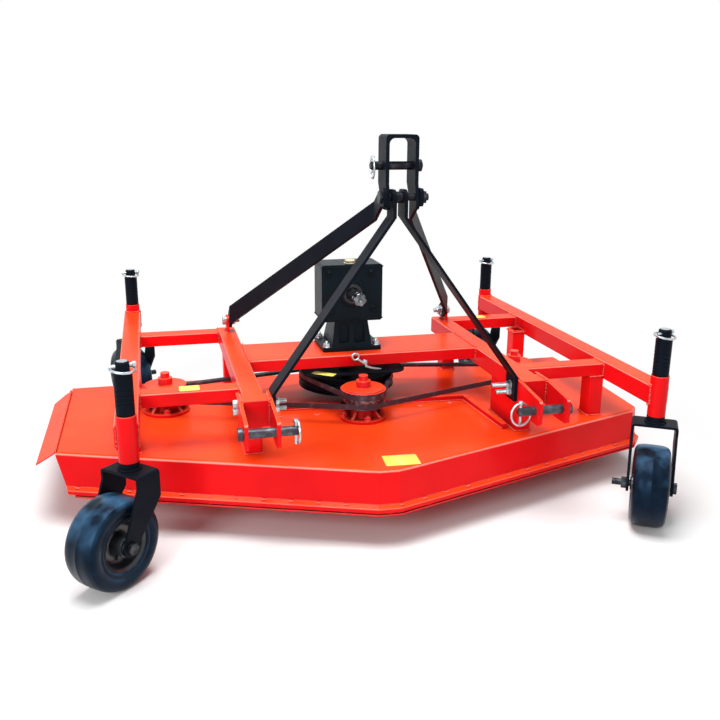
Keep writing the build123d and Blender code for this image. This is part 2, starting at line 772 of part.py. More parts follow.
# Casters, each drawn trailing towards +y and then turned about its post
for name, (s, y, turn) in casters.items():
    place = Pos(s * caster_half, y, 0) * Rot(0, 0, turn - 90)
    # Fork: a plate bent over the wheel, its legs tapering to rounded feet
    inside = fork_half - fork_t
    yoke = [
        (-fork_half, 0), (-fork_half, fork_top, fork_bend), (fork_half, fork_top, fork_bend), (fork_half, 0),
        (inside, 0), (inside, fork_top - fork_t, fork_bend - fork_t),
        (-inside, fork_top - fork_t, fork_bend - fork_t), (-inside, 0),
    ]
    half = fork_deep / 2
    foot_z = axle_z - fork_foot_r
    leg = [
        (-half, fork_top), (half, fork_top), (half, fork_lean_from), (trail + fork_foot_r, axle_z),
        (trail + fork_foot_r, foot_z, fork_foot_round), (trail - fork_foot_r, foot_z, fork_foot_round),
        (trail - fork_foot_r, axle_z), (-half, fork_back_from),
    ]
    fork = prism_y(yoke, -far, far) & prism_x(leg, -far, far)
    neck_low = fork_top - fork_t
    fork += turned_z([
        (0, neck_low), (neck_r, neck_low), (neck_r, tube_low - neck_gap), (stem_r, tube_low - neck_gap),
        (stem_r, stem_high - stem_bevel), (stem_r - stem_bevel, stem_high), (0, stem_high),
    ], 0, 0)
    fork -= rod_x(-far, far, trail, axle_z, axle_r)
    put(f"caster_fork_{name}", place * fork)

    spacer = rod_z(0, 0, tube_high + neck_gap, spacer_high, spacer_r)
    put(f"caster_spacer_{name}", place * (spacer - rod_z(0, 0, tube_high, spacer_high + tool_past, stem_r)))

    axle = rod_x(-fork_half - axle_head_t, fork_half + axle_thread, trail, axle_z, axle_r)
    axle += prism_x(hexagon(trail, axle_z, axle_head_half), fork_half, fork_half + axle_nut_t)
    axle += prism_x(hexagon(trail, axle_z, axle_head_half), -fork_half - axle_head_t, -fork_half)
    put(f"caster_axle_{name}", place * axle)

    # Rim: hub, dished web and flared barrel; tyre: smooth, with bevelled shoulders
    bore = axle_r + pivot_play
    right = [
        (rim_hub_half, bore), (rim_hub_half, rim_hub_r), (rim_web_half, rim_hub_r), (rim_web_half, rim_web_r),
        (rim_half, rim_r - rim_lip), (rim_half, rim_r),
    ]
    left = [(-w, r) for w, r in reversed(right)]
    put(f"caster_rim_{name}", place * turned_x(right + left, trail, axle_z))
    right = [(rim_half, rim_r), (tyre_half, shoulder_r), (tread_half, tyre_r)]
    left = [(-w, r) for w, r in reversed(right)]
    put(f"caster_tyre_{name}", place * turned_x(right + left, trail, axle_z))
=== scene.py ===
import bpy
import bmesh
import json
from math import cos, hypot, pi, radians, sin
from mathutils import Matrix, Vector


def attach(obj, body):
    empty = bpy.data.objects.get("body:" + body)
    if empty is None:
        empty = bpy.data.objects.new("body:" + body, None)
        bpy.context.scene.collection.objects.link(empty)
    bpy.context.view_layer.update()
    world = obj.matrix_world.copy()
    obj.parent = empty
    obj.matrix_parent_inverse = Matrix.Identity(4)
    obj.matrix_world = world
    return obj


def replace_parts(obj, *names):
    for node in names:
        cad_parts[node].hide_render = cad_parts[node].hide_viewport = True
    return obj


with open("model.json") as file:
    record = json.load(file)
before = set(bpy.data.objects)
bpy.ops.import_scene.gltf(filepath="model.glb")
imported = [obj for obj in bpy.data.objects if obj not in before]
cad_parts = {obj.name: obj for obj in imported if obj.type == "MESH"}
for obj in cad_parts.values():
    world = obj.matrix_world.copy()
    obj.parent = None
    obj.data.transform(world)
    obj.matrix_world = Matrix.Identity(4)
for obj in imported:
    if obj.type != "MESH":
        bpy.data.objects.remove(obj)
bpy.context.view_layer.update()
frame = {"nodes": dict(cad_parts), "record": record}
scene = bpy.context.scene
print("frame loaded:", len(frame["nodes"]), "nodes")

# Measures below are the machine's own, in millimetres: x from the hitch centre line, y from the
# front caster posts, z from 300 mm under the link pins. This is where the frame's origin lies.
frameOrigin = {"x": -43.0, "y": 554.442, "z": 6.5}


def place(x, y, z):
    return Vector((x - frameOrigin["x"], y - frameOrigin["y"], z - frameOrigin["z"])) / 1000


# The sRGB curve, from a hex colour to linear red, green and blue with full cover
def toLinear(hexColour):
    channels = []
    for i in (1, 3, 5):
        c = int(hexColour[i:i + 2], 16) / 255
        channels.append(c / 12.92 if c <= 0.04045 else ((c + 0.055) / 1.055) ** 2.4)
    return (*channels, 1.0)


# Adds a node and gives back one of its outputs. Sockets go by name, or by number where a node
# has several of one name: a colour Mix takes its two colours at 6 and 7 and gives them at 2.
def addNode(tree, kind, inputs=None, out=0, **settings):
    node = tree.nodes.new(kind)
    for name, value in settings.items():
        setattr(node, name, value)
    for key, value in (inputs or {}).items():
        if isinstance(value, bpy.types.NodeSocket):
            tree.links.new(value, node.inputs[key])
        else:
            node.inputs[key].default_value = value
    return node.outputs[out] if len(node.outputs) else None


def startMaterial(name):
    material = bpy.data.materials.new(name)
    material.use_nodes = True
    material.node_tree.nodes.clear()
    return material, material.node_tree


# Constants that a finish may name, and the shader socket of each
shaderSockets = {"ior": "IOR", "specular": "Specular IOR Level", "metallic": "Metallic",
                 "coat": "Coat Weight", "coatRough": "Coat Roughness"}


def endMaterial(tree, skin, colour, roughness, normal):
    inputs = {"Base Color": colour, "Roughness": roughness, "Normal": normal}
    inputs.update({socket: skin[key] for key, socket in shaderSockets.items() if key in skin})
    if "glint" in skin:
        inputs["Specular Tint"] = toLinear(skin["glint"])
    shader = addNode(tree, "ShaderNodeBsdfPrincipled", inputs)
    addNode(tree, "ShaderNodeOutputMaterial", {"Surface": shader})


def spots(tree, spotMm, detail=3.0):
    return addNode(tree, "ShaderNodeTexNoise", {
        "Vector": addNode(tree, "ShaderNodeTexCoord", out="Object"),
        "Scale": 1000 / spotMm,  # gives spots about this size
        "Detail": detail}, out="Fac")


def twoTone(tree, pattern, lowHex, highHex, low=0.3, high=0.7):
    colour = addNode(tree, "ShaderNodeValToRGB", {"Fac": pattern}, out="Color")
    ends = colour.node.color_ramp.elements
    ends[0].position = low
    ends[0].color = toLinear(lowHex)
    ends[1].position = high
    ends[1].color = toLinear(highHex)
    return colour


def glossAlong(tree, pattern, rough):
    return addNode(tree, "ShaderNodeMapRange", {
        "Value": pattern, "To Min": rough[0], "To Max": rough[1]})


edgeSamples = 4


def reliefOn(tree, height, skin):
    values = {"Height": height, "Distance": skin["grainDepthMm"] / 1000, "Strength": 1.0}
    if "edgeMm" in skin:
        values["Normal"] = addNode(tree, "ShaderNodeBevel", {"Radius": skin["edgeMm"] / 1000},
                                   samples=edgeSamples)
    return addNode(tree, "ShaderNodeBump", values)


def grainOf(tree, skin):
    return reliefOn(tree, spots(tree, skin["grainMm"]), skin)


# A slope is how far a face looks up: 0 is upright, 1 is level. The mask grows from 0 to 1 between two.
def facingUp(tree, slopes, edgeMm=0.0):
    if edgeMm:
        normal = addNode(tree, "ShaderNodeBevel", {"Radius": edgeMm / 1000}, samples=edgeSamples)
    else:
        normal = addNode(tree, "ShaderNodeNewGeometry", out="Normal")
    upward = addNode(tree, "ShaderNodeSeparateXYZ", {"Vector": normal}, out="Z")
    return addNode(tree, "ShaderNodeMapRange", {
        "Value": upward, "From Min": slopes[0], "From Max": slopes[1]}, interpolation_type="SMOOTHSTEP")


# A plain finish: clouded colour, patches of gloss and a fine grain
def makeCloudy(name, skin):
    material, tree = startMaterial(name)
    colour = twoTone(tree, spots(tree, skin["cloudMm"]), skin["deep"], skin["colour"])
    gloss = glossAlong(tree, spots(tree, skin["roughMm"]), skin["rough"])
    endMaterial(tree, skin, colour, gloss, grainOf(tree, skin))
    return material


# Red powder coat: electrostatic powder baked on sheet and tube. It gives an even, deep red with
# a clear gloss and a faint orange peel. Painted light is added to its colour: a painted lit orange on
# faces that look up, a painted highlight along bends and edges, and painted shade in the nooks.
redCoat = {
    # The orange tones of the top are painted light, for faces that look up
    "side": "#f5141a", "sideDeep": "#dc0e16", "top": "#ff4d1a", "paintedLitTopDeep": "#fa3f16",
    # The pale pink, with its share, reach and slopes, is a painted highlight along bends and edges
    "paintedLitTopSlopes": (0.25, 0.95), "bend": "#ffb4a6", "bendShare": 0.55, "bendMm": 3.5,
    "bendStart": (0.25, 0.5), "bendEnd": (0.78, 0.7),
    # The dark red, with its reach, openness and samples, is painted shade in the nooks
    "paintedShade": "#8c1016", "paintedShadeMm": 80, "paintedShadeOpen": (0.1, 0.7), "paintedShadeSamples": 6,
    "cloudMm": 240, "roughMm": 90, "rough": (0.30, 0.42), "grainMm": 5, "grainDepthMm": 0.035,
    "edgeMm": 1.6, "glint": "#ffc49a", "ior": 1.5, "specular": 0.08, "coat": 0.09, "coatRough": 0.12,
}


def redEnamelColour(tree):
    cloud = spots(tree, redCoat["cloudMm"])
    side = twoTone(tree, cloud, redCoat["sideDeep"], redCoat["side"])
    # Painted light: faces that look up take the lighter, more orange red
    top = twoTone(tree, cloud, redCoat["paintedLitTopDeep"], redCoat["top"])
    body = addNode(tree, "ShaderNodeMix", {0: facingUp(tree, redCoat["paintedLitTopSlopes"]), 6: side, 7: top},
                   out=2, data_type="RGBA")
    # Painted highlight: a paler line where the rounded normal turns between upright and level
    bend = addNode(tree, "ShaderNodeMath", {
        0: facingUp(tree, redCoat["bendStart"], redCoat["bendMm"]),
        1: facingUp(tree, redCoat["bendEnd"], redCoat["bendMm"])}, operation="MULTIPLY")
    share = addNode(tree, "ShaderNodeMath", {0: bend, 1: redCoat["bendShare"]}, operation="MULTIPLY")
    body = addNode(tree, "ShaderNodeMix", {0: share, 6: body, 7: toLinear(redCoat["bend"])},
                   out=2, data_type="RGBA")
    # Painted shade: nooks found by ambient occlusion darken to a deep red
    openness = addNode(tree, "ShaderNodeAmbientOcclusion", {"Distance": redCoat["paintedShadeMm"] / 1000},
                       out="AO", samples=redCoat["paintedShadeSamples"])
    shade = addNode(tree, "ShaderNodeMapRange", {
        "Value": openness, "From Min": redCoat["paintedShadeOpen"][0], "From Max": redCoat["paintedShadeOpen"][1]})
    return addNode(tree, "ShaderNodeMix", {0: shade, 6: toLinear(redCoat["paintedShade"]), 7: body},
                   out=2, data_type="RGBA")


def makeRedEnamel():
    material, tree = startMaterial("redPowderCoat")
    gloss = glossAlong(tree, spots(tree, redCoat["roughMm"]), redCoat["rough"])
    endMaterial(tree, redCoat, redEnamelColour(tree), gloss, grainOf(tree, redCoat))
    return material


# Black powder coat on flat bar and forks: a satin blue-black with a fine texture
blackCoat = {"colour": "#12161f", "deep": "#0d1017", "glint": "#b9cdea", "cloudMm": 60, "roughMm": 35,
             "rough": (0.38, 0.52), "grainMm": 2.5, "grainDepthMm": 0.03, "edgeMm": 1.4,
             "ior": 1.5, "specular": 0.07}

# Cast iron under black paint: sand-cast skin that shows as soft pimples
castCoat = {"colour": "#0a141a", "deep": "#070d11", "glint": "#b4d4e6", "cloudMm": 40, "roughMm": 25,
            "rough": (0.36, 0.5), "grainMm": 6, "grainDepthMm": 0.12, "edgeMm": 2.5,
            "ior": 1.5, "specular": 0.2}

# Rim enamel: a gloss black that picks up the grey of the studio on its rolled lip
rimSkin = {"colour": "#2b2e33", "deep": "#15171b", "cloudMm": 30, "roughMm": 22, "rough": (0.24, 0.36),
           "grainMm": 4, "grainDepthMm": 0.03, "edgeMm": 1.0, "ior": 1.55}

# Clear zinc plate on linch pins, bolts and nuts: a bright cool grey with a faint cloud
zincPlate = {"colour": "#d3dbde", "deep": "#aab6bc", "cloudMm": 7, "roughMm": 7, "rough": (0.22, 0.38),
             "grainMm": 1.5, "grainDepthMm": 0.02, "edgeMm": 0.8, "metallic": 1.0}

# Small fittings: cream plastic of the filler cap, yellow label vinyl, nitrile rubber of the seal
creamSkin = {"colour": "#efe3c3", "deep": "#cdb98d", "cloudMm": 12, "roughMm": 6, "rough": (0.35, 0.5),
             "grainMm": 4, "grainDepthMm": 0.03, "edgeMm": 0.4, "ior": 1.46}
vinylSkin = {"colour": "#fff27c", "deep": "#fde648", "cloudMm": 30, "roughMm": 15, "rough": (0.3, 0.42),
             "grainMm": 10, "grainDepthMm": 0.03, "edgeMm": 0.4, "ior": 1.46}
sealSkin = {"colour": "#2c2c2e", "deep": "#1b1b1d", "cloudMm": 6, "roughMm": 3, "rough": (0.45, 0.6),
            "grainMm": 2, "grainDepthMm": 0.03, "edgeMm": 0.4, "ior": 1.46}

# Vulcanised rubber of smooth turf tyres: blue-black and new, with a painted pale blue sheen in patches on
# what faces the sky, standing in for highlights
tyreSkin = {"colour": "#0e1827", "deep": "#060a10", "cloudMm": 22, "cloudDetail": 5,
            # The pale blue patches on faces that look up are a painted sheen, standing in for highlights
            "paintedSheen": "#3d6487", "paintedSheenMm": 62, "paintedSheenPatch": (0.4, 0.7), "paintedSheenSlopes": (-0.02, 0.9),
            "roughMm": 34, "roughDetail": 5, "rough": (0.14, 0.5), "grainMm": 3, "grainDepthMm": 0.05,
            "glint": "#86bdf5", "ior": 1.42, "specular": 0.26}


def makeTyreRubber():
    material, tree = startMaterial("mouldedTyreRubber")
    rubber = twoTone(tree, spots(tree, tyreSkin["cloudMm"], tyreSkin["cloudDetail"]),
                     tyreSkin["deep"], tyreSkin["colour"])
    # Painted sheen: pale blue patches mixed in on faces that look up
    patches = addNode(tree, "ShaderNodeMapRange", {
        "Value": spots(tree, tyreSkin["paintedSheenMm"]),
        "From Min": tyreSkin["paintedSheenPatch"][0], "From Max": tyreSkin["paintedSheenPatch"][1]})
    paintedSheen = addNode(tree, "ShaderNodeMath", {0: facingUp(tree, tyreSkin["paintedSheenSlopes"]), 1: patches},
                    operation="MULTIPLY")
    colour = addNode(tree, "ShaderNodeMix", {0: paintedSheen, 6: rubber, 7: toLinear(tyreSkin["paintedSheen"])},
                     out=2, data_type="RGBA")
    gloss = glossAlong(tree, spots(tree, tyreSkin["roughMm"], tyreSkin["roughDetail"]),
                       tyreSkin["rough"])
    endMaterial(tree, tyreSkin, colour, gloss, grainOf(tree, tyreSkin))
    return material


# Wrapped V belt: rubber in a woven jacket, grey where it rubs in the grooves
beltSkin = {"colour": "#2b2631", "rubbed": "#6f6d76", "wearMm": 18, "wear": (0.55, 0.85),
            "rough": (0.55, 0.4), "grainMm": 2.5, "grainDepthMm": 0.12, "ior": 1.5}

# Oiled bar of the hitch pins, and blackened caster axles, mast bolt and top link pin: dark steel,
# brighter where it was rubbed
pinSteel = {"colour": "#3c3e44", "rubbed": "#6d757c", "wearMm": 16, "wear": (0.45, 0.8),
            "rough": (0.46, 0.3), "grainMm": 2, "grainDepthMm": 0.02, "edgeMm": 0.8, "metallic": 0.75}
axleSteel = {**pinSteel, "colour": "#1c1f24", "rubbed": "#4a5056"}
wearDetail = 5


def makeRubbed(name, skin):
    material, tree = startMaterial(name)
    wear = spots(tree, skin["wearMm"], wearDetail)
    colour = twoTone(tree, wear, skin["colour"], skin["rubbed"], *skin["wear"])
    endMaterial(tree, skin, colour, glossAlong(tree, wear, skin["rough"]), grainOf(tree, skin))
    return material


# Turned steel of the input shaft: bright, with rings left by the tool. Real ones are finer than the
# render shows, so they are drawn about 10 mm apart. At scale 1 a wave turns 20 radians in a metre.
turnedSteel = {"colour": "#8f9397", "deep": "#54585c", "cloudMm": 12, "ringMm": 10.05, "waveTurn": 20,
               "wander": 0.4, "ringDetail": 2.0, "rough": (0.2, 0.34), "grainDepthMm": 0.01,
               "edgeMm": 0.6, "metallic": 1.0}


def makeTurnedSteel():
    material, tree = startMaterial("turnedSteel")
    rings = addNode(tree, "ShaderNodeTexWave", {
        "Vector": addNode(tree, "ShaderNodeTexCoord", out="Object"),
        "Scale": 2 * pi * 1000 / turnedSteel["ringMm"] / turnedSteel["waveTurn"],
        "Distortion": turnedSteel["wander"], "Detail": turnedSteel["ringDetail"]},
        out="Fac", wave_type="BANDS", bands_direction="Y")
    colour = twoTone(tree, spots(tree, turnedSteel["cloudMm"]), turnedSteel["deep"],
                     turnedSteel["colour"])
    endMaterial(tree, turnedSteel, colour, glossAlong(tree, rings, turnedSteel["rough"]),
                reliefOn(tree, rings, turnedSteel))
    return material


# Rolled blade steel: dark mill scale, bright where the cutting edge was ground
bladeSteel = {"scale": "#34363a", "deep": "#222428", "ground": "#b9bec2", "groundSlopes": (0.8, 0.99),
              "cloudMm": 14, "rough": (0.5, 0.28), "grainMm": 4, "grainDepthMm": 0.06, "edgeMm": 0.6,
              "metallic": 0.85}


def makeBladeSteel():
    material, tree = startMaterial("rolledBladeSteel")
    scale = twoTone(tree, spots(tree, bladeSteel["cloudMm"]), bladeSteel["deep"], bladeSteel["scale"])
    slope = addNode(tree, "ShaderNodeSeparateXYZ", {
        "Vector": addNode(tree, "ShaderNodeNewGeometry", out="Normal")}, out="Z")
    lowest, highest = bladeSteel["groundSlopes"]
    above = addNode(tree, "ShaderNodeMath", {0: slope, 1: lowest}, operation="GREATER_THAN")
    below = addNode(tree, "ShaderNodeMath", {0: slope, 1: highest}, operation="LESS_THAN")
    ground = addNode(tree, "ShaderNodeMath", {0: above, 1: below}, operation="MULTIPLY")
    colour = addNode(tree, "ShaderNodeMix", {0: ground, 6: scale, 7: toLinear(bladeSteel["ground"])},
                     out=2, data_type="RGBA")
    endMaterial(tree, bladeSteel, colour, glossAlong(tree, ground, bladeSteel["rough"]),
                grainOf(tree, bladeSteel))
    return material


# Spindle pulleys: turned steel grooves, and above the foot of the cap red powder coat
pulleySkin = {"colour": "#4c4652", "bright": "#a7a3ab", "wearMm": 9, "wear": (0.45, 0.8), "roughMm": 20,
              "rough": (0.3, 0.42), "grainMm": 3, "grainDepthMm": 0.03, "edgeMm": 1.0}
capFoot = {"centre": 276.0, "side": 253.0}


def makePulleySteel(name, capFootZ):
    material, tree = startMaterial(name)
    height = addNode(tree, "ShaderNodeSeparateXYZ", {
        "Vector": addNode(tree, "ShaderNodeTexCoord", out="Object")}, out="Z")
    painted = addNode(tree, "ShaderNodeMath", {0: height, 1: place(0, 0, capFootZ).z},
                      operation="GREATER_THAN")
    steel = twoTone(tree, spots(tree, pulleySkin["wearMm"], wearDetail), pulleySkin["colour"],
                    pulleySkin["bright"], *pulleySkin["wear"])
    bare = addNode(tree, "ShaderNodeMath", {0: 1.0, 1: painted}, operation="SUBTRACT")
    # The cap takes the red coat's colour, with its painted lit orange, painted highlight and painted shade
    colour = addNode(tree, "ShaderNodeMix", {0: painted, 6: steel, 7: redEnamelColour(tree)},
                     out=2, data_type="RGBA")
    gloss = glossAlong(tree, spots(tree, pulleySkin["roughMm"]), pulleySkin["rough"])
    endMaterial(tree, {**pulleySkin, "metallic": bare}, colour, gloss, grainOf(tree, pulleySkin))
    return material


finishes = {
    "red_enamel": makeRedEnamel(),
    "black_paint": makeCloudy("blackPowderCoat", blackCoat),
    "tyre_rubber": makeTyreRubber(),
    "belt_rubber": makeRubbed("wrappedBeltRubber", beltSkin),
    "zinc": makeCloudy("clearZincPlate", zincPlate),
    "steel": makeTurnedSteel(),
    "blade_steel": makeBladeSteel(),
}
castIron = makeCloudy("paintedCastIron", castCoat)
oiledSteel = makeRubbed("oiledBarSteel", pinSteel)
blackSteel = makeRubbed("blackenedSteel", axleSteel)
centrePulley = makePulleySteel("capPulleyCentre", capFoot["centre"])
sidePulley = makePulleySteel("capPulleySide", capFoot["side"])
rimCoat = makeCloudy("rimGlossBlack", rimSkin)
creamPlastic = makeCloudy("creamPlastic", creamSkin)
labelVinyl = makeCloudy("labelVinyl", vinylSkin)
sealRubber = makeCloudy("nitrileRubber", sealSkin)
print("materials made")

# Every solid of the frame keeps its shape and gets the finish of its slot, or one of its own
ownFinish = {
    "gearbox_housing": castIron, "hitch_pin": oiledSteel, "caster_axle": blackSteel,
    "top_link_pin": blackSteel, "mast_bolt": blackSteel, "spindle_pulley_centre": centrePulley,
    "spindle_pulley_left": sidePulley, "spindle_pulley_right": sidePulley,
}
for part in frame["record"]["subparts"]:
    finish = finishes[part["material_slot"]]
    for start, own in ownFinish.items():
        if part["node"].startswith(start):
            finish = own
    materials = frame["nodes"][part["node"]].data.materials
    materials.clear()
    materials.append(finish)


# A seat is a place and a direction: shapes on it are drawn in millimetres, with its axis as z
def seatAt(x, y, z, axis=(0, 0, 1)):
    turn = Vector((0, 0, 1)).rotation_difference(Vector(axis)).to_matrix().to_4x4()
    return Matrix.Translation(place(x, y, z)) @ turn @ Matrix.Scale(0.001, 4)


def bandBetween(form, low, high):
    for k in range(len(low)):
        n = (k + 1) % len(low)
        form.faces.new((low[k], low[n], high[n], high[k]))


def closedStack(form, rings):
    for low, high in zip(rings, rings[1:]):
        bandBetween(form, low, high)
    form.faces.new(rings[0][::-1])
    form.faces.new(rings[-1])


# A profile is a list of radius and height pairs, turned round the seat's axis
def turned(form, seat, profile, steps=24, waveAt=None):
    rings = []
    for r, h in profile:
        ring = []
        for k in range(steps if r else 1):
            angle = 2 * pi * k / steps
            reach = waveAt(k, r) if waveAt else r
            ring.append(form.verts.new(seat @ Vector((reach * cos(angle), reach * sin(angle), h))))
        rings.append(ring)
    for low, high in zip(rings, rings[1:]):
        if len(low) == len(high):
            bandBetween(form, low, high)
            continue
        for k in range(steps):
            n = (k + 1) % steps
            form.faces.new((low[0], high[n], high[k]) if len(low) == 1 else (low[k], low[n], high[0]))


# Hexagon heads and nuts on a washer: the corners are rounded off from the shoulder to the crown
boltShape = {"washerHigh": 2.0, "washerEdge": 0.5, "shoulder": 0.82, "crown": 0.87}


def boltHead(form, seat, flats, high, washerR=0.0):
    lift = 0.0
    if washerR:
        lift = boltShape["washerHigh"]
        edge = boltShape["washerEdge"]
        turned(form, seat, [(0, 0), (washerR, 0), (washerR, lift - edge), (washerR - edge, lift),
                            (0, lift)])
    reach = flats / 2 / cos(pi / 6)
    turned(form, seat, [(0, lift), (reach, lift), (reach, lift + high * boltShape["shoulder"]),
                        (reach * boltShape["crown"], lift + high), (0, lift + high)], steps=6)


# Threads: grooves cut round a bolt's end, which is chamfered
threadShape = {"pitch": 1.75, "depthShare": 0.35, "endLong": 1.0, "endDeep": 1.2}


def threadedEnd(form, seat, r, low, high):
    pitch = threadShape["pitch"]
    profile = [(0, low), (r, low)]
    h = low + pitch
    while h + pitch < high:
        profile += [(r, h), (r - pitch * threadShape["depthShare"], h + pitch / 2)]
        h += pitch
    profile += [(r, high - threadShape["endLong"]), (r - threadShape["endDeep"], high), (0, high)]
    turned(form, seat, profile, steps=16)


def sweptRound(form, points, r, steps=8, closed=False):
    count = len(points)
    rings = []
    normal = None
    for i, here in enumerate(points):
        before = points[i - 1] if i or closed else here
        after = points[(i + 1) % count] if i + 1 < count or closed else here
        along = (after - before).normalized()
        if normal is None:
            guide = Vector((0, 0, 1)) if abs(along.z) < 0.9 else Vector((1, 0, 0))  # never along the path
            normal = guide.cross(along).normalized()
        normal = (normal - along * normal.dot(along)).normalized()
        across = along.cross(normal)
        ring = []
        for k in range(steps):
            angle = 2 * pi * k / steps
            ring.append(form.verts.new(here + (normal * cos(angle) + across * sin(angle)) * r / 1000))
        rings.append(ring)
    if closed:
        for low, high in zip(rings, rings[1:] + rings[:1]):
            bandBetween(form, low, high)
    else:
        closedStack(form, rings)


def ringPath(seat, long, wide, steps=36):
    angles = [2 * pi * k / steps for k in range(steps)]
    return [seat @ Vector((long * cos(angle), wide * sin(angle), 0)) for angle in angles]


def addPiece(name, mesh, body):
    piece = bpy.data.objects.new(name, mesh)
    scene.collection.objects.link(piece)
    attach(piece, body)
    return piece


mergeWithin = 1e-6  # metres


def finishPiece(name, form, body, slotName=None, material=None, sharpDeg=38):
    bmesh.ops.remove_doubles(form, verts=form.verts, dist=mergeWithin)
    bmesh.ops.recalc_face_normals(form, faces=form.faces)
    mesh = bpy.data.meshes.new(name)
    form.to_mesh(mesh)
    form.free()
    mesh.materials.append(material or finishes[slotName])
    mesh.shade_smooth()
    mesh.set_sharp_from_angle(angle=radians(sharpDeg))
    return addPiece(name, mesh, body)


# Wheels: a smooth turf tyre with bead ring and mould lines, on a rolled steel rim with a deep dish.
# A side's pairs are distance from the wheel's middle plane and radius. The other side mirrors it.
wheelSizes = {
    "axleZ": 106.5, "trail": 60.0, "postX": 621.0, "tyreSteps": 96, "rimSteps": 64,
    "tyreSide": [
        (35, 56.2), (37.4, 57.2), (39.0, 60.0), (39.4, 64.0), (38.4, 66.4), (38.6, 68.0), (40.2, 71.5),
        (41.3, 77.0), (41.5, 82.0), (40.9, 86.5), (39.4, 90.4), (37.0, 93.6), (36.0, 95.0), (35.2, 95.2),
        (33.8, 96.0), (30.0, 97.7), (24.0, 99.0), (15.0, 99.6), (0.7, 99.7), (0.0, 100.0)],
    "rimSide": [
        (45, 8.1), (45, 14.5), (43.6, 15.6), (43.0, 21.5), (41.5, 22.0), (12.0, 22.6), (8.6, 25.5),
        (7.6, 30.0), (8.4, 38.0), (12.0, 43.0), (17.0, 46.0), (29.0, 48.6), (33.0, 50.2), (34.6, 52.6),
        (36.4, 53.8), (37.6, 55.4), (36.8, 56.0), (35.0, 56.0)],
    "boltRing": 33.0, "bolts": 4, "boltSeat": 7.4, "boltFlats": 10, "boltHigh": 5, "boltWasherR": 7.5,
}
# Side, y of the post, and direction of the trail in degrees
casters = {"front_left": (-1, 0.0, -135.0), "front_right": (1, 0.0, -122.0),
           "rear_left": (-1, 1101.0, 112.0), "rear_right": (1, 1101.0, 90.0)}


def wheelSeat(side, y, trailDeg):
    trail = radians(trailDeg)
    x = side * wheelSizes["postX"] + wheelSizes["trail"] * cos(trail)
    return seatAt(x, y + wheelSizes["trail"] * sin(trail), wheelSizes["axleZ"],
                  (cos(trail - pi / 2), sin(trail - pi / 2), 0))


def bothSides(side):
    return [(r, h) for h, r in side] + [(r, -h) for h, r in reversed(side) if h > 0]


for name, (side, y, trailDeg) in casters.items():
    seat = wheelSeat(side, y, trailDeg)
    form = bmesh.new()
    turned(form, seat, bothSides(wheelSizes["tyreSide"]), wheelSizes["tyreSteps"])
    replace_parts(finishPiece(f"tyre_{name}", form, f"wheel_{name}", "tyre_rubber", sharpDeg=50),
                f"caster_tyre_{name}")
    form = bmesh.new()
    turned(form, seat, bothSides(wheelSizes["rimSide"]), wheelSizes["rimSteps"])
    for face in (1, -1):
        for k in range(wheelSizes["bolts"]):
            angle = 2 * pi * (k + 0.5) / wheelSizes["bolts"]
            spot = (wheelSizes["boltRing"] * cos(angle), wheelSizes["boltRing"] * sin(angle),
                    wheelSizes["boltSeat"] * face)
            outward = Matrix.Rotation(0 if face > 0 else pi, 4, "X")
            boltHead(form, seat @ Matrix.Translation(spot) @ outward, wheelSizes["boltFlats"],
                     wheelSizes["boltHigh"], wheelSizes["boltWasherR"])
    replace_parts(finishPiece(f"rim_{name}", form, f"wheel_{name}", "black_paint", material=rimCoat),
                f"caster_rim_{name}")
print("wheels made")

# Input shaft: six splines cut in a turned stub, a locking groove near its end and a plain seat behind
shaftSizes = {
    "x": -30.0, "z": 504.0, "endY": 378.0, "steps": 120, "splines": 6, "topPart": 0.5, "rootR": 14.6,
    "rootPlay": 0.2, "sharpDeg": 25,
    "profile": [(0, 2.0), (3.0, 2.0), (5.0, 0.0), (15.6, 0.0), (17.45, 1.8), (17.45, 13.0), (15.0, 14.0),
                (15.0, 20.0), (17.45, 21.0), (17.45, 75.0), (16.0, 78.0), (15.0, 78.0), (15.0, 96.0),
                (0, 96.0)],
}


def splineWave(k, r):
    part = (k * shaftSizes["splines"] / shaftSizes["steps"]) % 1
    onTop = part < shaftSizes["topPart"]
    return r if onTop or r < shaftSizes["rootR"] + shaftSizes["rootPlay"] else shaftSizes["rootR"]


form = bmesh.new()
turned(form, seatAt(shaftSizes["x"], shaftSizes["endY"], shaftSizes["z"], (0, 1, 0)),
       shaftSizes["profile"], shaftSizes["steps"], splineWave)
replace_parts(finishPiece("splined_input_shaft", form, "input", "steel", sharpDeg=shaftSizes["sharpDeg"]),
            "input_shaft")

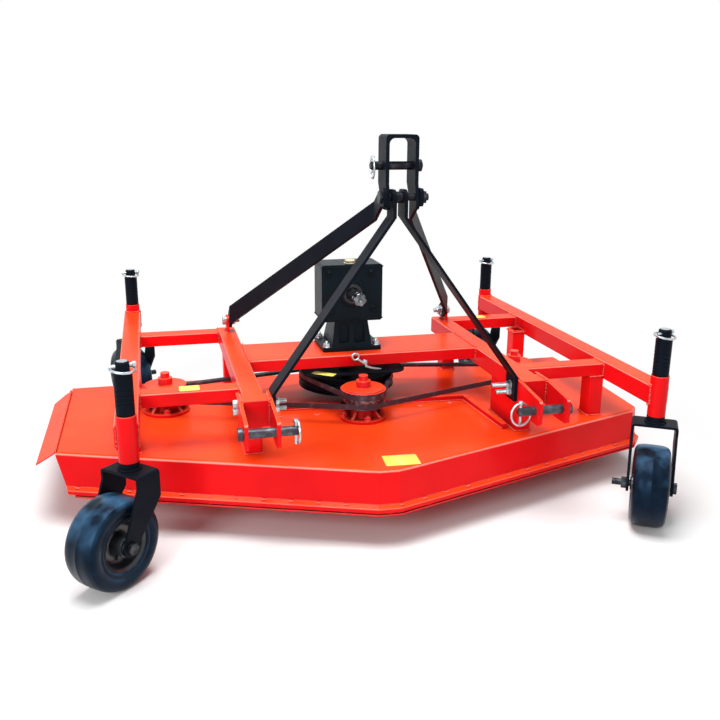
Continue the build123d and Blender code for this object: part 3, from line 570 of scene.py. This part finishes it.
# Gearbox trim: the oil seal and the boss ring round the shaft, cap screws in the front, the seams
# of the two covers, a filler cap on its gasket and the foot bolts
gearbox = {
    "front": 467.0, "back": 567.0, "halfWide": 84.0, "sealY": 459.0,
    "seal": [(17.9, -6), (26.5, -6), (26.5, 0.4), (25.6, 1.2), (19.2, 1.2), (17.9, -0.6), (17.9, -6)],
    "boss": [(32, 0), (38, 0), (38, 1.2), (36.6, 2), (32, 2), (32, 0)],
    "screwsXZ": ((23, 560), (28, 462), (-94, 560), (-89, 459)),
    "screw": [(0, -1), (10.5, -1), (10.5, 1.2), (9.6, 2), (6.2, 2), (6.2, 6.2), (5.4, 7), (3, 7), (3, 4),
              (0, 4)],
    "seamsZ": ((575.0, 578.0), (433.0, 436.0)), "seamOut": 1.6,
    "capAt": (-30, 497, 589),
    "gasket": [(14, -6), (16.5, -6), (16.5, -4.5), (14, -3.8), (14, -6)],
    "cap": [(0, 0), (12.6, 0), (14.2, -1), (14.2, 1.6), (13.2, 2.6), (9.6, 2.6), (8.6, 1.4), (5.2, 1.4),
            (4.4, 2.4), (0, 2.4)],
    "feetX": (-99, 39), "feetY": (474, 583), "footZ": 357, "footFlats": 17, "footHigh": 9,
    "footWasherR": 11, "footThreadR": 5.5, "footThread": (9, 17),
}
form = bmesh.new()
sealSeat = seatAt(shaftSizes["x"], gearbox["sealY"], shaftSizes["z"], (0, -1, 0))
turned(form, sealSeat, gearbox["seal"], steps=48)
finishPiece("input_shaft_seal", form, "frame", "belt_rubber", material=sealRubber)

form = bmesh.new()
for x, z in gearbox["screwsXZ"]:
    turned(form, seatAt(x, gearbox["front"], z, (0, -1, 0)), gearbox["screw"], steps=20)
bossSeat = seatAt(shaftSizes["x"], gearbox["front"], shaftSizes["z"], (0, -1, 0))
turned(form, bossSeat, gearbox["boss"], steps=48)
for low, high in gearbox["seamsZ"]:
    left = shaftSizes["x"] - gearbox["halfWide"] - gearbox["seamOut"]
    right = shaftSizes["x"] + gearbox["halfWide"] + gearbox["seamOut"]
    front = gearbox["front"] - gearbox["seamOut"]
    back = gearbox["back"] + gearbox["seamOut"]
    corners = [(left, front), (right, front), (right, back), (left, back)]
    closedStack(form, [[form.verts.new(place(x, y, z)) for x, y in corners] for z in (low, high)])
finishPiece("gearbox_screws", form, "frame", "black_paint", material=castIron)

form = bmesh.new()
turned(form, seatAt(*gearbox["capAt"]), gearbox["gasket"], steps=40)
turned(form, seatAt(*gearbox["capAt"]), gearbox["cap"], steps=40)
finishPiece("gearbox_filler_cap", form, "frame", material=creamPlastic)

form = bmesh.new()
for x in gearbox["feetX"]:
    for y in gearbox["feetY"]:
        foot = seatAt(x, y, gearbox["footZ"])
        boltHead(form, foot, gearbox["footFlats"], gearbox["footHigh"], gearbox["footWasherR"])
        threadedEnd(form, foot, gearbox["footThreadR"], *gearbox["footThread"])
finishPiece("gearbox_foot_bolts", form, "frame", "zinc")
print("gearbox trim made")

# Linch pins of the hitch: one through each link pin. The left one's ring stands across the pin,
# the right one's faces forwards.
hitch = {
    "pinX": 266.0, "pinY": 11.0, "pinZ": 300.0, "oval": 0.92, "wire": 2.6,
    "pin": [(0, -32), (2.0, -32), (3.6, -29), (3.6, 17), (4.8, 17.4), (5.6, 19), (5.6, 24), (4.8, 25.6),
            (0, 25.6)],
    "leftRing": {"shift": (5, 0, -4), "axis": (1, 0, 0), "r": 26.0},
    "rightRing": {"shift": (0, -4, -5), "axis": (0.25, -1, 0.1), "r": 28.5},
}
form = bmesh.new()
for s, ring in ((-1, hitch["leftRing"]), (1, hitch["rightRing"])):
    at = (s * hitch["pinX"], hitch["pinY"], hitch["pinZ"])
    turned(form, seatAt(*at), hitch["pin"], steps=16)
    ringSeat = seatAt(*[here + shift for here, shift in zip(at, ring["shift"])], ring["axis"])
    path = ringPath(ringSeat, ring["r"], ring["r"] * hitch["oval"])
    sweptRound(form, path, hitch["wire"], closed=True)
finishPiece("hitch_linch_pins", form, "frame", "zinc")

# Mast foot bolts: two through each front strap and clevis, one through each rear brace.
# Rows of the front ones are side, z and how far the thread reaches in from the strap.
frontFeet = {"y": 137, "headX": 380.5, "nutX": 294.5, "flats": 17, "headHigh": 8, "nutHigh": 9,
             "washerR": 11, "threadR": 5.8,
             "bolts": ((-1, 327, 28), (1, 327, 50), (-1, 309, 28), (1, 309, 38))}
rearFeet = {"y": 762, "z": 378, "threadX": 334.5, "threadR": 7.2, "thread": (8, 28), "nutX": 330.5,
            "headX": 346.5, "flats": 22, "nutHigh": 10, "headHigh": 9, "washerR": 15}
form = bmesh.new()
for s, z, reach in frontFeet["bolts"]:
    boltHead(form, seatAt(s * frontFeet["headX"], frontFeet["y"], z, (s, 0, 0)), frontFeet["flats"],
             frontFeet["headHigh"], frontFeet["washerR"])
    nutSeat = seatAt(s * frontFeet["nutX"], frontFeet["y"], z, (-s, 0, 0))
    boltHead(form, nutSeat, frontFeet["flats"], frontFeet["nutHigh"], frontFeet["washerR"])
    threadedEnd(form, nutSeat, frontFeet["threadR"], frontFeet["nutHigh"], reach)
for s in (-1, 1):
    at = (rearFeet["y"], rearFeet["z"])
    threadedEnd(form, seatAt(s * rearFeet["threadX"], *at, (-s, 0, 0)), rearFeet["threadR"],
                *rearFeet["thread"])
    boltHead(form, seatAt(s * rearFeet["nutX"], *at, (-s, 0, 0)), rearFeet["flats"],
             rearFeet["nutHigh"], rearFeet["washerR"])
    boltHead(form, seatAt(s * rearFeet["headX"], *at, (s, 0, 0)), rearFeet["flats"],
             rearFeet["headHigh"], rearFeet["washerR"])
finishPiece("mast_foot_bolts", form, "frame", "zinc")

# Linch pin of the top link pin, its narrow ring round the pin's end
topLinch = {"x": -60, "y": 156, "pinZ": 857, "ringZ": 853, "ringLong": 24, "ringWide": 17, "wire": 2.2,
            "pin": [(0, -16), (2.6, -16), (3.2, -13), (3.2, 14), (4.6, 15), (4.6, 20), (0, 20)]}
form = bmesh.new()
ringSeat = seatAt(topLinch["x"], topLinch["y"], topLinch["ringZ"], (1, 0, 0))
path = ringPath(ringSeat, topLinch["ringLong"], topLinch["ringWide"])
sweptRound(form, path, topLinch["wire"], closed=True)
turned(form, seatAt(topLinch["x"], topLinch["y"], topLinch["pinZ"]), topLinch["pin"], steps=14)
finishPiece("top_link_linch_pin", form, "top_link", "zinc")

# Caster posts: a linch pin through the stem with its ring laid round the stem, a bright disc on
# the stem's end, and the spacer as a stack of rings
post = {
    "ringY": -1, "ringZ": 467.0, "ringAxis": (0.10, -0.12, 1), "ringR": 25.0, "oval": 0.9, "wire": 2.8,
    "pinZ": 474, "pinTurnDeg": 20,
    "pin": [(0, -27), (2.4, -27), (3.4, -24), (3.4, 20), (5.2, 20.6), (6.0, 22.5), (6.0, 27), (5.0, 28.6),
            (0, 28.6)],
    "discZ": 484, "disc": [(0, -1), (12.5, -1), (11.4, 0), (9.6, 0.3), (0, 0.3)],
    "spacerJoints": (370.0, 395.0, 404.0, 414.0, 424.0, 460.0), "spacerBoreR": 15.1, "spacerR": 19.5,
    "spacerEdge": 1.2,
}
for name, (side, y, trailDeg) in casters.items():
    x = side * wheelSizes["postX"]
    form = bmesh.new()
    lean = seatAt(x, y + post["ringY"], post["ringZ"], post["ringAxis"])
    path = ringPath(lean, post["ringR"], post["ringR"] * post["oval"])
    sweptRound(form, path, post["wire"], closed=True)
    turn = radians(post["pinTurnDeg"])
    turned(form, seatAt(x, y, post["pinZ"], (cos(turn), sin(turn), 0)), post["pin"], steps=16)
    turned(form, seatAt(x, y, post["discZ"]), post["disc"], steps=32)
    finishPiece(f"linch_pin_{name}", form, f"caster_{name}", "zinc")
    form = bmesh.new()
    bore, full, edge = post["spacerBoreR"], post["spacerR"], post["spacerEdge"]
    for low, high in zip(post["spacerJoints"], post["spacerJoints"][1:]):
        profile = [(bore, low), (full - edge, low), (full, low + edge), (full, high - edge),
                   (full - edge, high), (bore, high), (bore, low)]
        turned(form, seatAt(x, y, 0), profile, steps=48)
    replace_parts(finishPiece(f"spacer_rings_{name}", form, f"caster_{name}", "black_paint"),
                f"caster_spacer_{name}")
print("pins and bolts made")

# Spindles: each cast flange is held by four nuts on carriage bolts, and greased at its side.
# Six more carriage bolt heads show on the deck.
spindles = {
    "places": {"centre": (-30, 340), "left": (-535, 510), "right": (475, 510)},
    "boltRing": 49, "nuts": 4, "nutZ": 203, "flats": 16, "nutHigh": 8, "washerR": 10,
    "threadR": 4.8, "thread": (9, 14),
    "greaseOut": 23, "greaseZ": 214, "greaseAxis": (0.6, -0.6, 0.35),
    "greaseNipple": [(0, -3), (4.2, -3), (4.2, 2), (2.4, 2.6), (2.4, 5), (3.4, 6.4), (2.4, 9), (0, 9.4)],
}
deckBolts = {"at": ((-145, 386), (147, 394), (237, 399), (-245, 392), (620, 300), (-640, 330)), "z": 195,
             "head": [(0, -1), (8.5, -1), (8.2, 1.2), (6.6, 3.2), (3.6, 4.4), (0, 4.8)]}
form = bmesh.new()
for x, y in spindles["places"].values():
    for k in range(spindles["nuts"]):
        angle = 2 * pi * k / spindles["nuts"]
        spot = seatAt(x + spindles["boltRing"] * cos(angle), y + spindles["boltRing"] * sin(angle),
                      spindles["nutZ"])
        boltHead(form, spot, spindles["flats"], spindles["nutHigh"], spindles["washerR"])
        threadedEnd(form, spot, spindles["threadR"], *spindles["thread"])
    out = spindles["greaseOut"]
    turned(form, seatAt(x + out, y - out, spindles["greaseZ"], spindles["greaseAxis"]),
           spindles["greaseNipple"], steps=14)
for x, y in deckBolts["at"]:
    turned(form, seatAt(x, y, deckBolts["z"]), deckBolts["head"], steps=20)
finishPiece("spindle_flange_nuts", form, "frame", "red_enamel")

# Belt guard fastening: an eye bolt leans out of the bridge front, with a nut and a split pin
eyeBolt = {
    "eyeAt": (-33, 415.5, 341), "eyeR": 9, "eyeWire": 3.4,
    "shank": [(-28, 415.5, 334), (-18, 415.5, 327), (-5, 416, 319), (-2, 416, 312)], "shankWire": 4.2,
    "nutAt": (-5, 425, 321), "nutFlats": 12, "nutHigh": 5, "nutWasherR": 8,
    "splitPin": ([(-6, 413, 316), (14, 411, 309), (38, 412, 304)],
                 [(-6, 413, 312.6), (14, 412, 306), (32, 413, 303)]), "pinWire": 1.6,
}
form = bmesh.new()
eye = ringPath(seatAt(*eyeBolt["eyeAt"], (0, -1, 0)), eyeBolt["eyeR"], eyeBolt["eyeR"], steps=18)
sweptRound(form, eye, eyeBolt["eyeWire"], steps=10, closed=True)
sweptRound(form, [place(*point) for point in eyeBolt["shank"]], eyeBolt["shankWire"], steps=10)
boltHead(form, seatAt(*eyeBolt["nutAt"], (0, -1, 0)), eyeBolt["nutFlats"], eyeBolt["nutHigh"],
         eyeBolt["nutWasherR"])
for leg in eyeBolt["splitPin"]:
    sweptRound(form, [place(*point) for point in leg], eyeBolt["pinWire"])
finishPiece("guard_eye_bolt", form, "frame", "zinc")

# Blank labels: thin vinyl with rounded corners. x, y and z of the middle, long, wide, turn in degrees
blankLabels = {
    "label_deck_nose": (-15, 37, 195, 82, 60, -4), "label_left_tube": (-482, 240, 340, 48, 38, 0),
    "label_belt_guard": (-118, 426, 296, 66, 26, -38), "label_right_tube": (478, 800, 340, 38, 34, 0),
}
# Layers of a label's edge are how far it is drawn in and its height
labelShape = {"cornerR": 4.0, "layers": ((0.0, 0.05), (0.0, 0.35), (0.3, 0.5)), "cornerSteps": 4}


def roundedOutline(long, wide, cornerR, inset):
    reach = cornerR - inset
    outline = []
    for cx, cy, startDeg in ((1, 1, 0), (-1, 1, 90), (-1, -1, 180), (1, -1, 270)):
        for step in range(labelShape["cornerSteps"] + 1):
            angle = radians(startDeg + 90 * step / labelShape["cornerSteps"])
            outline.append((cx * (long / 2 - cornerR) + reach * cos(angle),
                            cy * (wide / 2 - cornerR) + reach * sin(angle)))
    return outline


for name, (x, y, z, long, wide, turnDeg) in blankLabels.items():
    form = bmesh.new()
    flat = seatAt(x, y, z) @ Matrix.Rotation(radians(turnDeg), 4, "Z")
    rings = []
    for inset, h in labelShape["layers"]:
        outline = roundedOutline(long, wide, labelShape["cornerR"], inset)
        rings.append([form.verts.new(flat @ Vector((px, py, h))) for px, py in outline])
    closedStack(form, rings)
    finishPiece(name, form, "frame", material=labelVinyl)
print("fittings and labels made")


# Beads along a line: one Geometry Nodes tree lays weld ripples and, longer and wider apart, stitches
# Pitch and radius are in metres, stretch and variation are shares of a bead's size
beadLimits = {"Pitch": (0.0005, 0.5), "Radius": (0.0002, 0.05), "Stretch": (0.1, 10.0),
              "Variation": (0.0, 1.0)}


def makeBeadTree(name, material):
    tree = bpy.data.node_groups.new(name, "GeometryNodeTree")
    tree.interface.new_socket("Geometry", in_out="INPUT", socket_type="NodeSocketGeometry")
    sockets = {}
    for label, (low, high) in beadLimits.items():
        socket = tree.interface.new_socket(label, in_out="INPUT", socket_type="NodeSocketFloat")
        socket.min_value = low
        socket.max_value = high
        sockets[label] = socket.identifier
    seed = tree.interface.new_socket("Seed", in_out="INPUT", socket_type="NodeSocketInt")
    sockets["Seed"] = seed.identifier
    tree.interface.new_socket("Geometry", in_out="OUTPUT", socket_type="NodeSocketGeometry")
    given = addNode(tree, "NodeGroupInput").node.outputs
    line = addNode(tree, "GeometryNodeMeshToCurve", {"Mesh": given["Geometry"]})
    points = addNode(tree, "GeometryNodeCurveToPoints", {"Curve": line, "Length": given["Pitch"]},
                     out="Points", mode="LENGTH")
    bead = addNode(tree, "GeometryNodeMeshIcoSphere", {"Radius": given["Radius"], "Subdivisions": 2})
    smallest = addNode(tree, "ShaderNodeMath", {0: 1.0, 1: given["Variation"]}, operation="SUBTRACT")
    size = addNode(tree, "FunctionNodeRandomValue", {2: smallest, 3: 1.0, "Seed": given["Seed"]},
                   out=1, data_type="FLOAT")
    lengthwise = addNode(tree, "ShaderNodeMath", {0: size, 1: given["Stretch"]}, operation="MULTIPLY")
    scale = addNode(tree, "ShaderNodeCombineXYZ", {"X": size, "Y": size, "Z": lengthwise})
    beads = addNode(tree, "GeometryNodeInstanceOnPoints", {
        "Points": points, "Instance": bead, "Rotation": points.node.outputs["Rotation"], "Scale": scale})
    real = addNode(tree, "GeometryNodeRealizeInstances", {"Geometry": beads})
    smooth = addNode(tree, "GeometryNodeSetShadeSmooth", {0: real})
    painted = addNode(tree, "GeometryNodeSetMaterial", {"Geometry": smooth, "Material": material})
    addNode(tree, "NodeGroupOutput", {0: painted})
    return tree, sockets


def beadPiece(name, lines, body, slotName, sizes):
    mesh = bpy.data.meshes.new(name + "_line")
    points, edges = [], []
    for line in lines:
        first = len(points)
        points += [tuple(place(*point)) for point in line]
        edges += [(first + i, first + i + 1) for i in range(len(line) - 1)]
    mesh.from_pydata(points, edges, [])
    carrier = bpy.data.objects.new(name + "_line", mesh)
    scene.collection.objects.link(carrier)
    tree, sockets = makeBeadTree(name + "_tree", finishes[slotName])
    modifier = carrier.modifiers.new("beads", "NODES")
    modifier.node_group = tree
    for label, value in sizes.items():
        modifier[sockets[label]] = value
    bpy.context.view_layer.update()
    evaluated = carrier.evaluated_get(bpy.context.evaluated_depsgraph_get())
    result = bpy.data.meshes.new_from_object(evaluated)
    result.name = name
    bpy.data.objects.remove(carrier)
    return addPiece(name, result, body)


def ringLine(x, y, z, r, startDeg=0, endDeg=360, steps=24):
    turns = [radians(startDeg + (endDeg - startDeg) * k / steps) for k in range(steps + 1)]
    return [(x + r * cos(turn), y + r * sin(turn), z) for turn in turns]


def footLine(x, low, high, z, half):
    return [(x - half, low, z), (x + half, low, z), (x + half, high, z), (x - half, high, z),
            (x - half, low, z)]


# Up one side of a tube's end, over its rounded corners and down the other side
def archLine(x, y, arch):
    half, topHalf = arch["half"], arch["topHalf"]
    return [(x, y - half, arch["foot"]), (x, y - half, arch["shoulder"]), (x, y - topHalf, arch["top"]),
            (x, y + topHalf, arch["top"]), (x, y + half, arch["shoulder"]), (x, y + half, arch["foot"])]


# Frame welds: feet and heads of the posts, the caster tubes, the ends of the cross tubes and of the
# bridge, the clevis ears, the brace lugs, the discharge edge and the stiffener on the deck
weldBeads = {"Pitch": 0.0042, "Radius": 0.0034, "Stretch": 0.75, "Variation": 0.25, "Seed": 11}
welds = {
    "deckZ": 195.5, "postHalf": 20.5, "beamX": 342.5,
    "outerPosts": {-1: {"x": -622.0, "headZ": 294.0}, 1: {"x": 581.0, "headZ": 304.0}},
    "outerPostsY": ((214.5, 265.5), (706.5, 757.5)), "innerPostsY": ((149.5, 320.5), (706.5, 757.5)),
    "casterTubes": ((0, 0, -0.8), (1101, 180, 0.8)),  # y, first degree of the ring, y of the seam's foot
    "casterTubeZ": (345.8, 294.4), "casterTubeR": 22.3, "casterSeamX": 22.6, "casterSeamZ": (298, 342),
    "crossTubesY": (240, 800), "crossTubesX": (368.3, 597.2),
    "crossTube": {"half": 25.4, "topHalf": 22.0, "foot": 306, "shoulder": 339, "top": 340.4},
    "bridgeX": 317, "bridgeY": 512.5,
    "bridge": {"half": 88.1, "topHalf": 84.5, "foot": 314, "shoulder": 342, "top": 345.6},
    "clevisX": 341.5, "earOut": 31, "earFoot": (1, 95.4, 284), "earShoulderZ": 343, "earTopY": (98, 144),
    "beamTop": 345.6, "lugOut": 4.6, "lugY": (737, 787),
    "dischargeEdge": [(-800, 270, 196), (-800, 740, 196)],
    "ribOut": 6.6, "ribZ": 195.6, "ribFront": ((-232, 446), (283, 420)),
    "ribSide": ((286, 418), (302, 176)),
}


def sideWelds(s):
    lines = []
    outer = welds["outerPosts"][s]
    for low, high in welds["outerPostsY"]:
        lines.append(footLine(outer["x"], low, high, welds["deckZ"], welds["postHalf"]))
        lines.append(footLine(outer["x"], low, high, outer["headZ"], welds["postHalf"]))
    beamX = s * welds["beamX"]
    for low, high in welds["innerPostsY"]:
        lines.append(footLine(beamX, low, high, welds["deckZ"], welds["postHalf"]))
    postX = s * wheelSizes["postX"]
    for y, startDeg, footShift in welds["casterTubes"]:
        for z in welds["casterTubeZ"]:
            lines.append(ringLine(postX, y, z, welds["casterTubeR"], startDeg, startDeg + 180))
        low, high = welds["casterSeamZ"]
        for edge in (-welds["casterSeamX"], welds["casterSeamX"]):
            lines.append([(postX + edge, y + footShift, low), (postX + edge, y, high)])
    for y in welds["crossTubesY"]:
        for x in welds["crossTubesX"]:
            lines.append(archLine(s * x, y, welds["crossTube"]))
    lines.append(archLine(s * welds["bridgeX"], welds["bridgeY"], welds["bridge"]))
    inset, earY, earZ = welds["earFoot"]
    for out in (-1, 1):
        x = s * welds["clevisX"] + out * welds["earOut"]
        lines.append([(x - out * inset, earY, earZ), (x - out * inset, earY, welds["earShoulderZ"])]
                     + [(x, y, welds["beamTop"]) for y in welds["earTopY"]])
    for edge in (-welds["lugOut"], welds["lugOut"]):
        lines.append([(beamX + edge, y, welds["beamTop"]) for y in welds["lugY"]])
    return lines


def deckWelds():
    lines = [welds["dischargeEdge"]]
    for edge in (-welds["ribOut"], welds["ribOut"]):
        lines.append([(x, y + edge, welds["ribZ"]) for x, y in welds["ribFront"]])
        lines.append([(x + edge, y, welds["ribZ"]) for x, y in welds["ribSide"]])
    return lines


frameLines = sideWelds(-1) + sideWelds(1) + deckWelds()
beadPiece("frame_weld_beads", frameLines, "frame", "red_enamel", weldBeads)

# Fork welds: one bead round the foot of each caster stem
forkWeld = {"z": 251.2, "r": 22.6, "steps": 36}
forkBeads = {"Pitch": 0.0036, "Radius": 0.0036, "Stretch": 0.8, "Variation": 0.25, "Seed": 5}
for name, (side, y, trailDeg) in casters.items():
    ring = ringLine(side * wheelSizes["postX"], y, forkWeld["z"], forkWeld["r"], steps=forkWeld["steps"])
    beadPiece(f"fork_weld_{name}", [ring], f"caster_{name}", "black_paint", forkBeads)

# Stitches: short welds where the rolled lip meets the wall, and between the lip and its wear strip.
# Runs are how far they start from the first corner and go on past the last.
deckPlan = [(-800, 265), (-83, -12), (-34, -15), (706, 228),
            (732, 258), (743, 470), (743, 775), (-800, 775)]
wallOut = 6.0
lipStitches = {"out": 3.6, "z": 111.6, "startRun": 60, "endRun": 20}
lipBeads = {"Pitch": 0.064, "Radius": 0.0036, "Stretch": 2.1, "Variation": 0.35, "Seed": 3}
stripStitches = {"out": 4.4, "z": 95.4, "startRun": 70, "endRun": 60}
stripBeads = {"Pitch": 0.052, "Radius": 0.0034, "Stretch": 2.6, "Variation": 0.4, "Seed": 8}


# The same outline, moved outwards by one distance all round
def growPlan(points, out):
    grown = []
    for i, here in enumerate(points):
        before, after = points[i - 1], points[(i + 1) % len(points)]
        longIn = hypot(here[0] - before[0], here[1] - before[1])
        longOut = hypot(after[0] - here[0], after[1] - here[1])
        inX, inY = (here[1] - before[1]) / longIn, (before[0] - here[0]) / longIn
        outX, outY = (after[1] - here[1]) / longOut, (here[0] - after[0]) / longOut
        scale = out / (1 + inX * outX + inY * outY)
        grown.append((here[0] + (inX + outX) * scale, here[1] + (inY + outY) * scale))
    return grown


def lipLine(stitches):
    plan = growPlan(growPlan(deckPlan, wallOut), stitches["out"])
    a, b = plan[0], plan[1]
    share = stitches["startRun"] / hypot(b[0] - a[0], b[1] - a[1])
    first = (a[0] + (b[0] - a[0]) * share, a[1] + (b[1] - a[1]) * share)
    last = (plan[-1][0] + stitches["endRun"], plan[-1][1])
    return [(x, y, stitches["z"]) for x, y in [first] + plan[1:-1] + [last]]


beadPiece("lip_stitch_welds", [lipLine(lipStitches)], "frame", "red_enamel", lipBeads)
beadPiece("strip_stitch_welds", [lipLine(stripStitches)], "frame", "red_enamel", stripBeads)
print("welds laid")

# Camera: fitted to the photograph through the hitch pins, posts and deck corners
view = {"x": -548.0, "y": -1676.3, "z": 950.8, "turn": -14.16, "down": 16.02, "roll": 0.39,
        "focal": 829.7, "imageWide": 720, "sensorMm": 36, "clipEnd": 60}
camera = bpy.data.objects.new("camera", bpy.data.cameras.new("camera"))
scene.collection.objects.link(camera)
camera.location = place(view["x"], view["y"], view["z"])
camera.rotation_euler = (Matrix.Rotation(radians(view["turn"]), 3, "Z")
                         @ Matrix.Rotation(radians(90 - view["down"]), 3, "X")
                         @ Matrix.Rotation(radians(view["roll"]), 3, "Z")).to_euler()
camera.data.sensor_width = view["sensorMm"]
camera.data.lens = view["focal"] / view["imageWide"] * view["sensorMm"]
camera.data.clip_end = view["clipEnd"]
scene.camera = camera

# Studio: a white floor that fades into the white world around the machine, and two soft boxes
studio = {
    "worldStrength": 0.34, "floorHalf": 30.0, "floorHex": "#f4f4f4", "fadeFrom": 0.8, "fadeTo": 1.4,
    "boxes": [
        {"name": "overheadBox", "at": (-0.45, -0.68, 3.35), "aim": (0, 0, 0.2), "size": 2.0, "watts": 126},
        {"name": "frontBox", "at": (-2.6, -3.4, 2.0), "aim": (0, 0, 0.3), "size": 1.4, "watts": 72},
    ],
}
white = (1, 1, 1, 1)


def makeFloor():
    material, tree = startMaterial("paleFloor")
    lit = addNode(tree, "ShaderNodeBsdfDiffuse", {"Color": toLinear(studio["floorHex"])})
    plain = addNode(tree, "ShaderNodeEmission", {"Color": white, "Strength": 1.0})
    reach = addNode(tree, "ShaderNodeVectorMath", {
        0: addNode(tree, "ShaderNodeTexCoord", out="Object")}, out="Value", operation="LENGTH")
    fade = addNode(tree, "ShaderNodeMapRange", {
        "Value": reach, "From Min": studio["fadeFrom"], "From Max": studio["fadeTo"]},
        interpolation_type="SMOOTHSTEP")
    surface = addNode(tree, "ShaderNodeMixShader", {0: fade, 1: lit, 2: plain})
    addNode(tree, "ShaderNodeOutputMaterial", {"Surface": surface})
    mesh = bpy.data.meshes.new("paleFloor")
    half = studio["floorHalf"]
    corners = [(-half, -half, 0), (half, -half, 0), (half, half, 0), (-half, half, 0)]
    mesh.from_pydata(corners, [], [(0, 1, 2, 3)])
    mesh.materials.append(material)
    floor = bpy.data.objects.new("paleFloor", mesh)
    scene.collection.objects.link(floor)


# The world is white to the eye and in reflections, and dimmer as a light
def makeWorld():
    world = bpy.data.worlds.new("whiteStudio")
    world.use_nodes = True
    tree = world.node_tree
    tree.nodes.clear()
    ray = addNode(tree, "ShaderNodeLightPath").node.outputs
    seen = addNode(tree, "ShaderNodeMath", {0: ray["Is Camera Ray"], 1: ray["Is Glossy Ray"]},
                   operation="ADD")
    seen = addNode(tree, "ShaderNodeMath", {0: seen, 1: ray["Is Transmission Ray"]},
                   operation="ADD", use_clamp=True)
    strength = addNode(tree, "ShaderNodeMapRange", {
        "Value": seen, "To Min": studio["worldStrength"], "To Max": 1.0})
    background = addNode(tree, "ShaderNodeBackground", {"Color": white, "Strength": strength})
    addNode(tree, "ShaderNodeOutputWorld", {"Surface": background})
    scene.world = world


makeFloor()
makeWorld()
for box in studio["boxes"]:
    lamp = bpy.data.lights.new(box["name"], "AREA")
    lamp.size = box["size"]
    lamp.energy = box["watts"]
    holder = bpy.data.objects.new(box["name"], lamp)
    scene.collection.objects.link(holder)
    holder.location = box["at"]
    holder.rotation_euler = (Vector(box["aim"]) - Vector(box["at"])).to_track_quat("-Z", "Y").to_euler()
scene.view_settings.view_transform = "Standard"
print("studio ready")
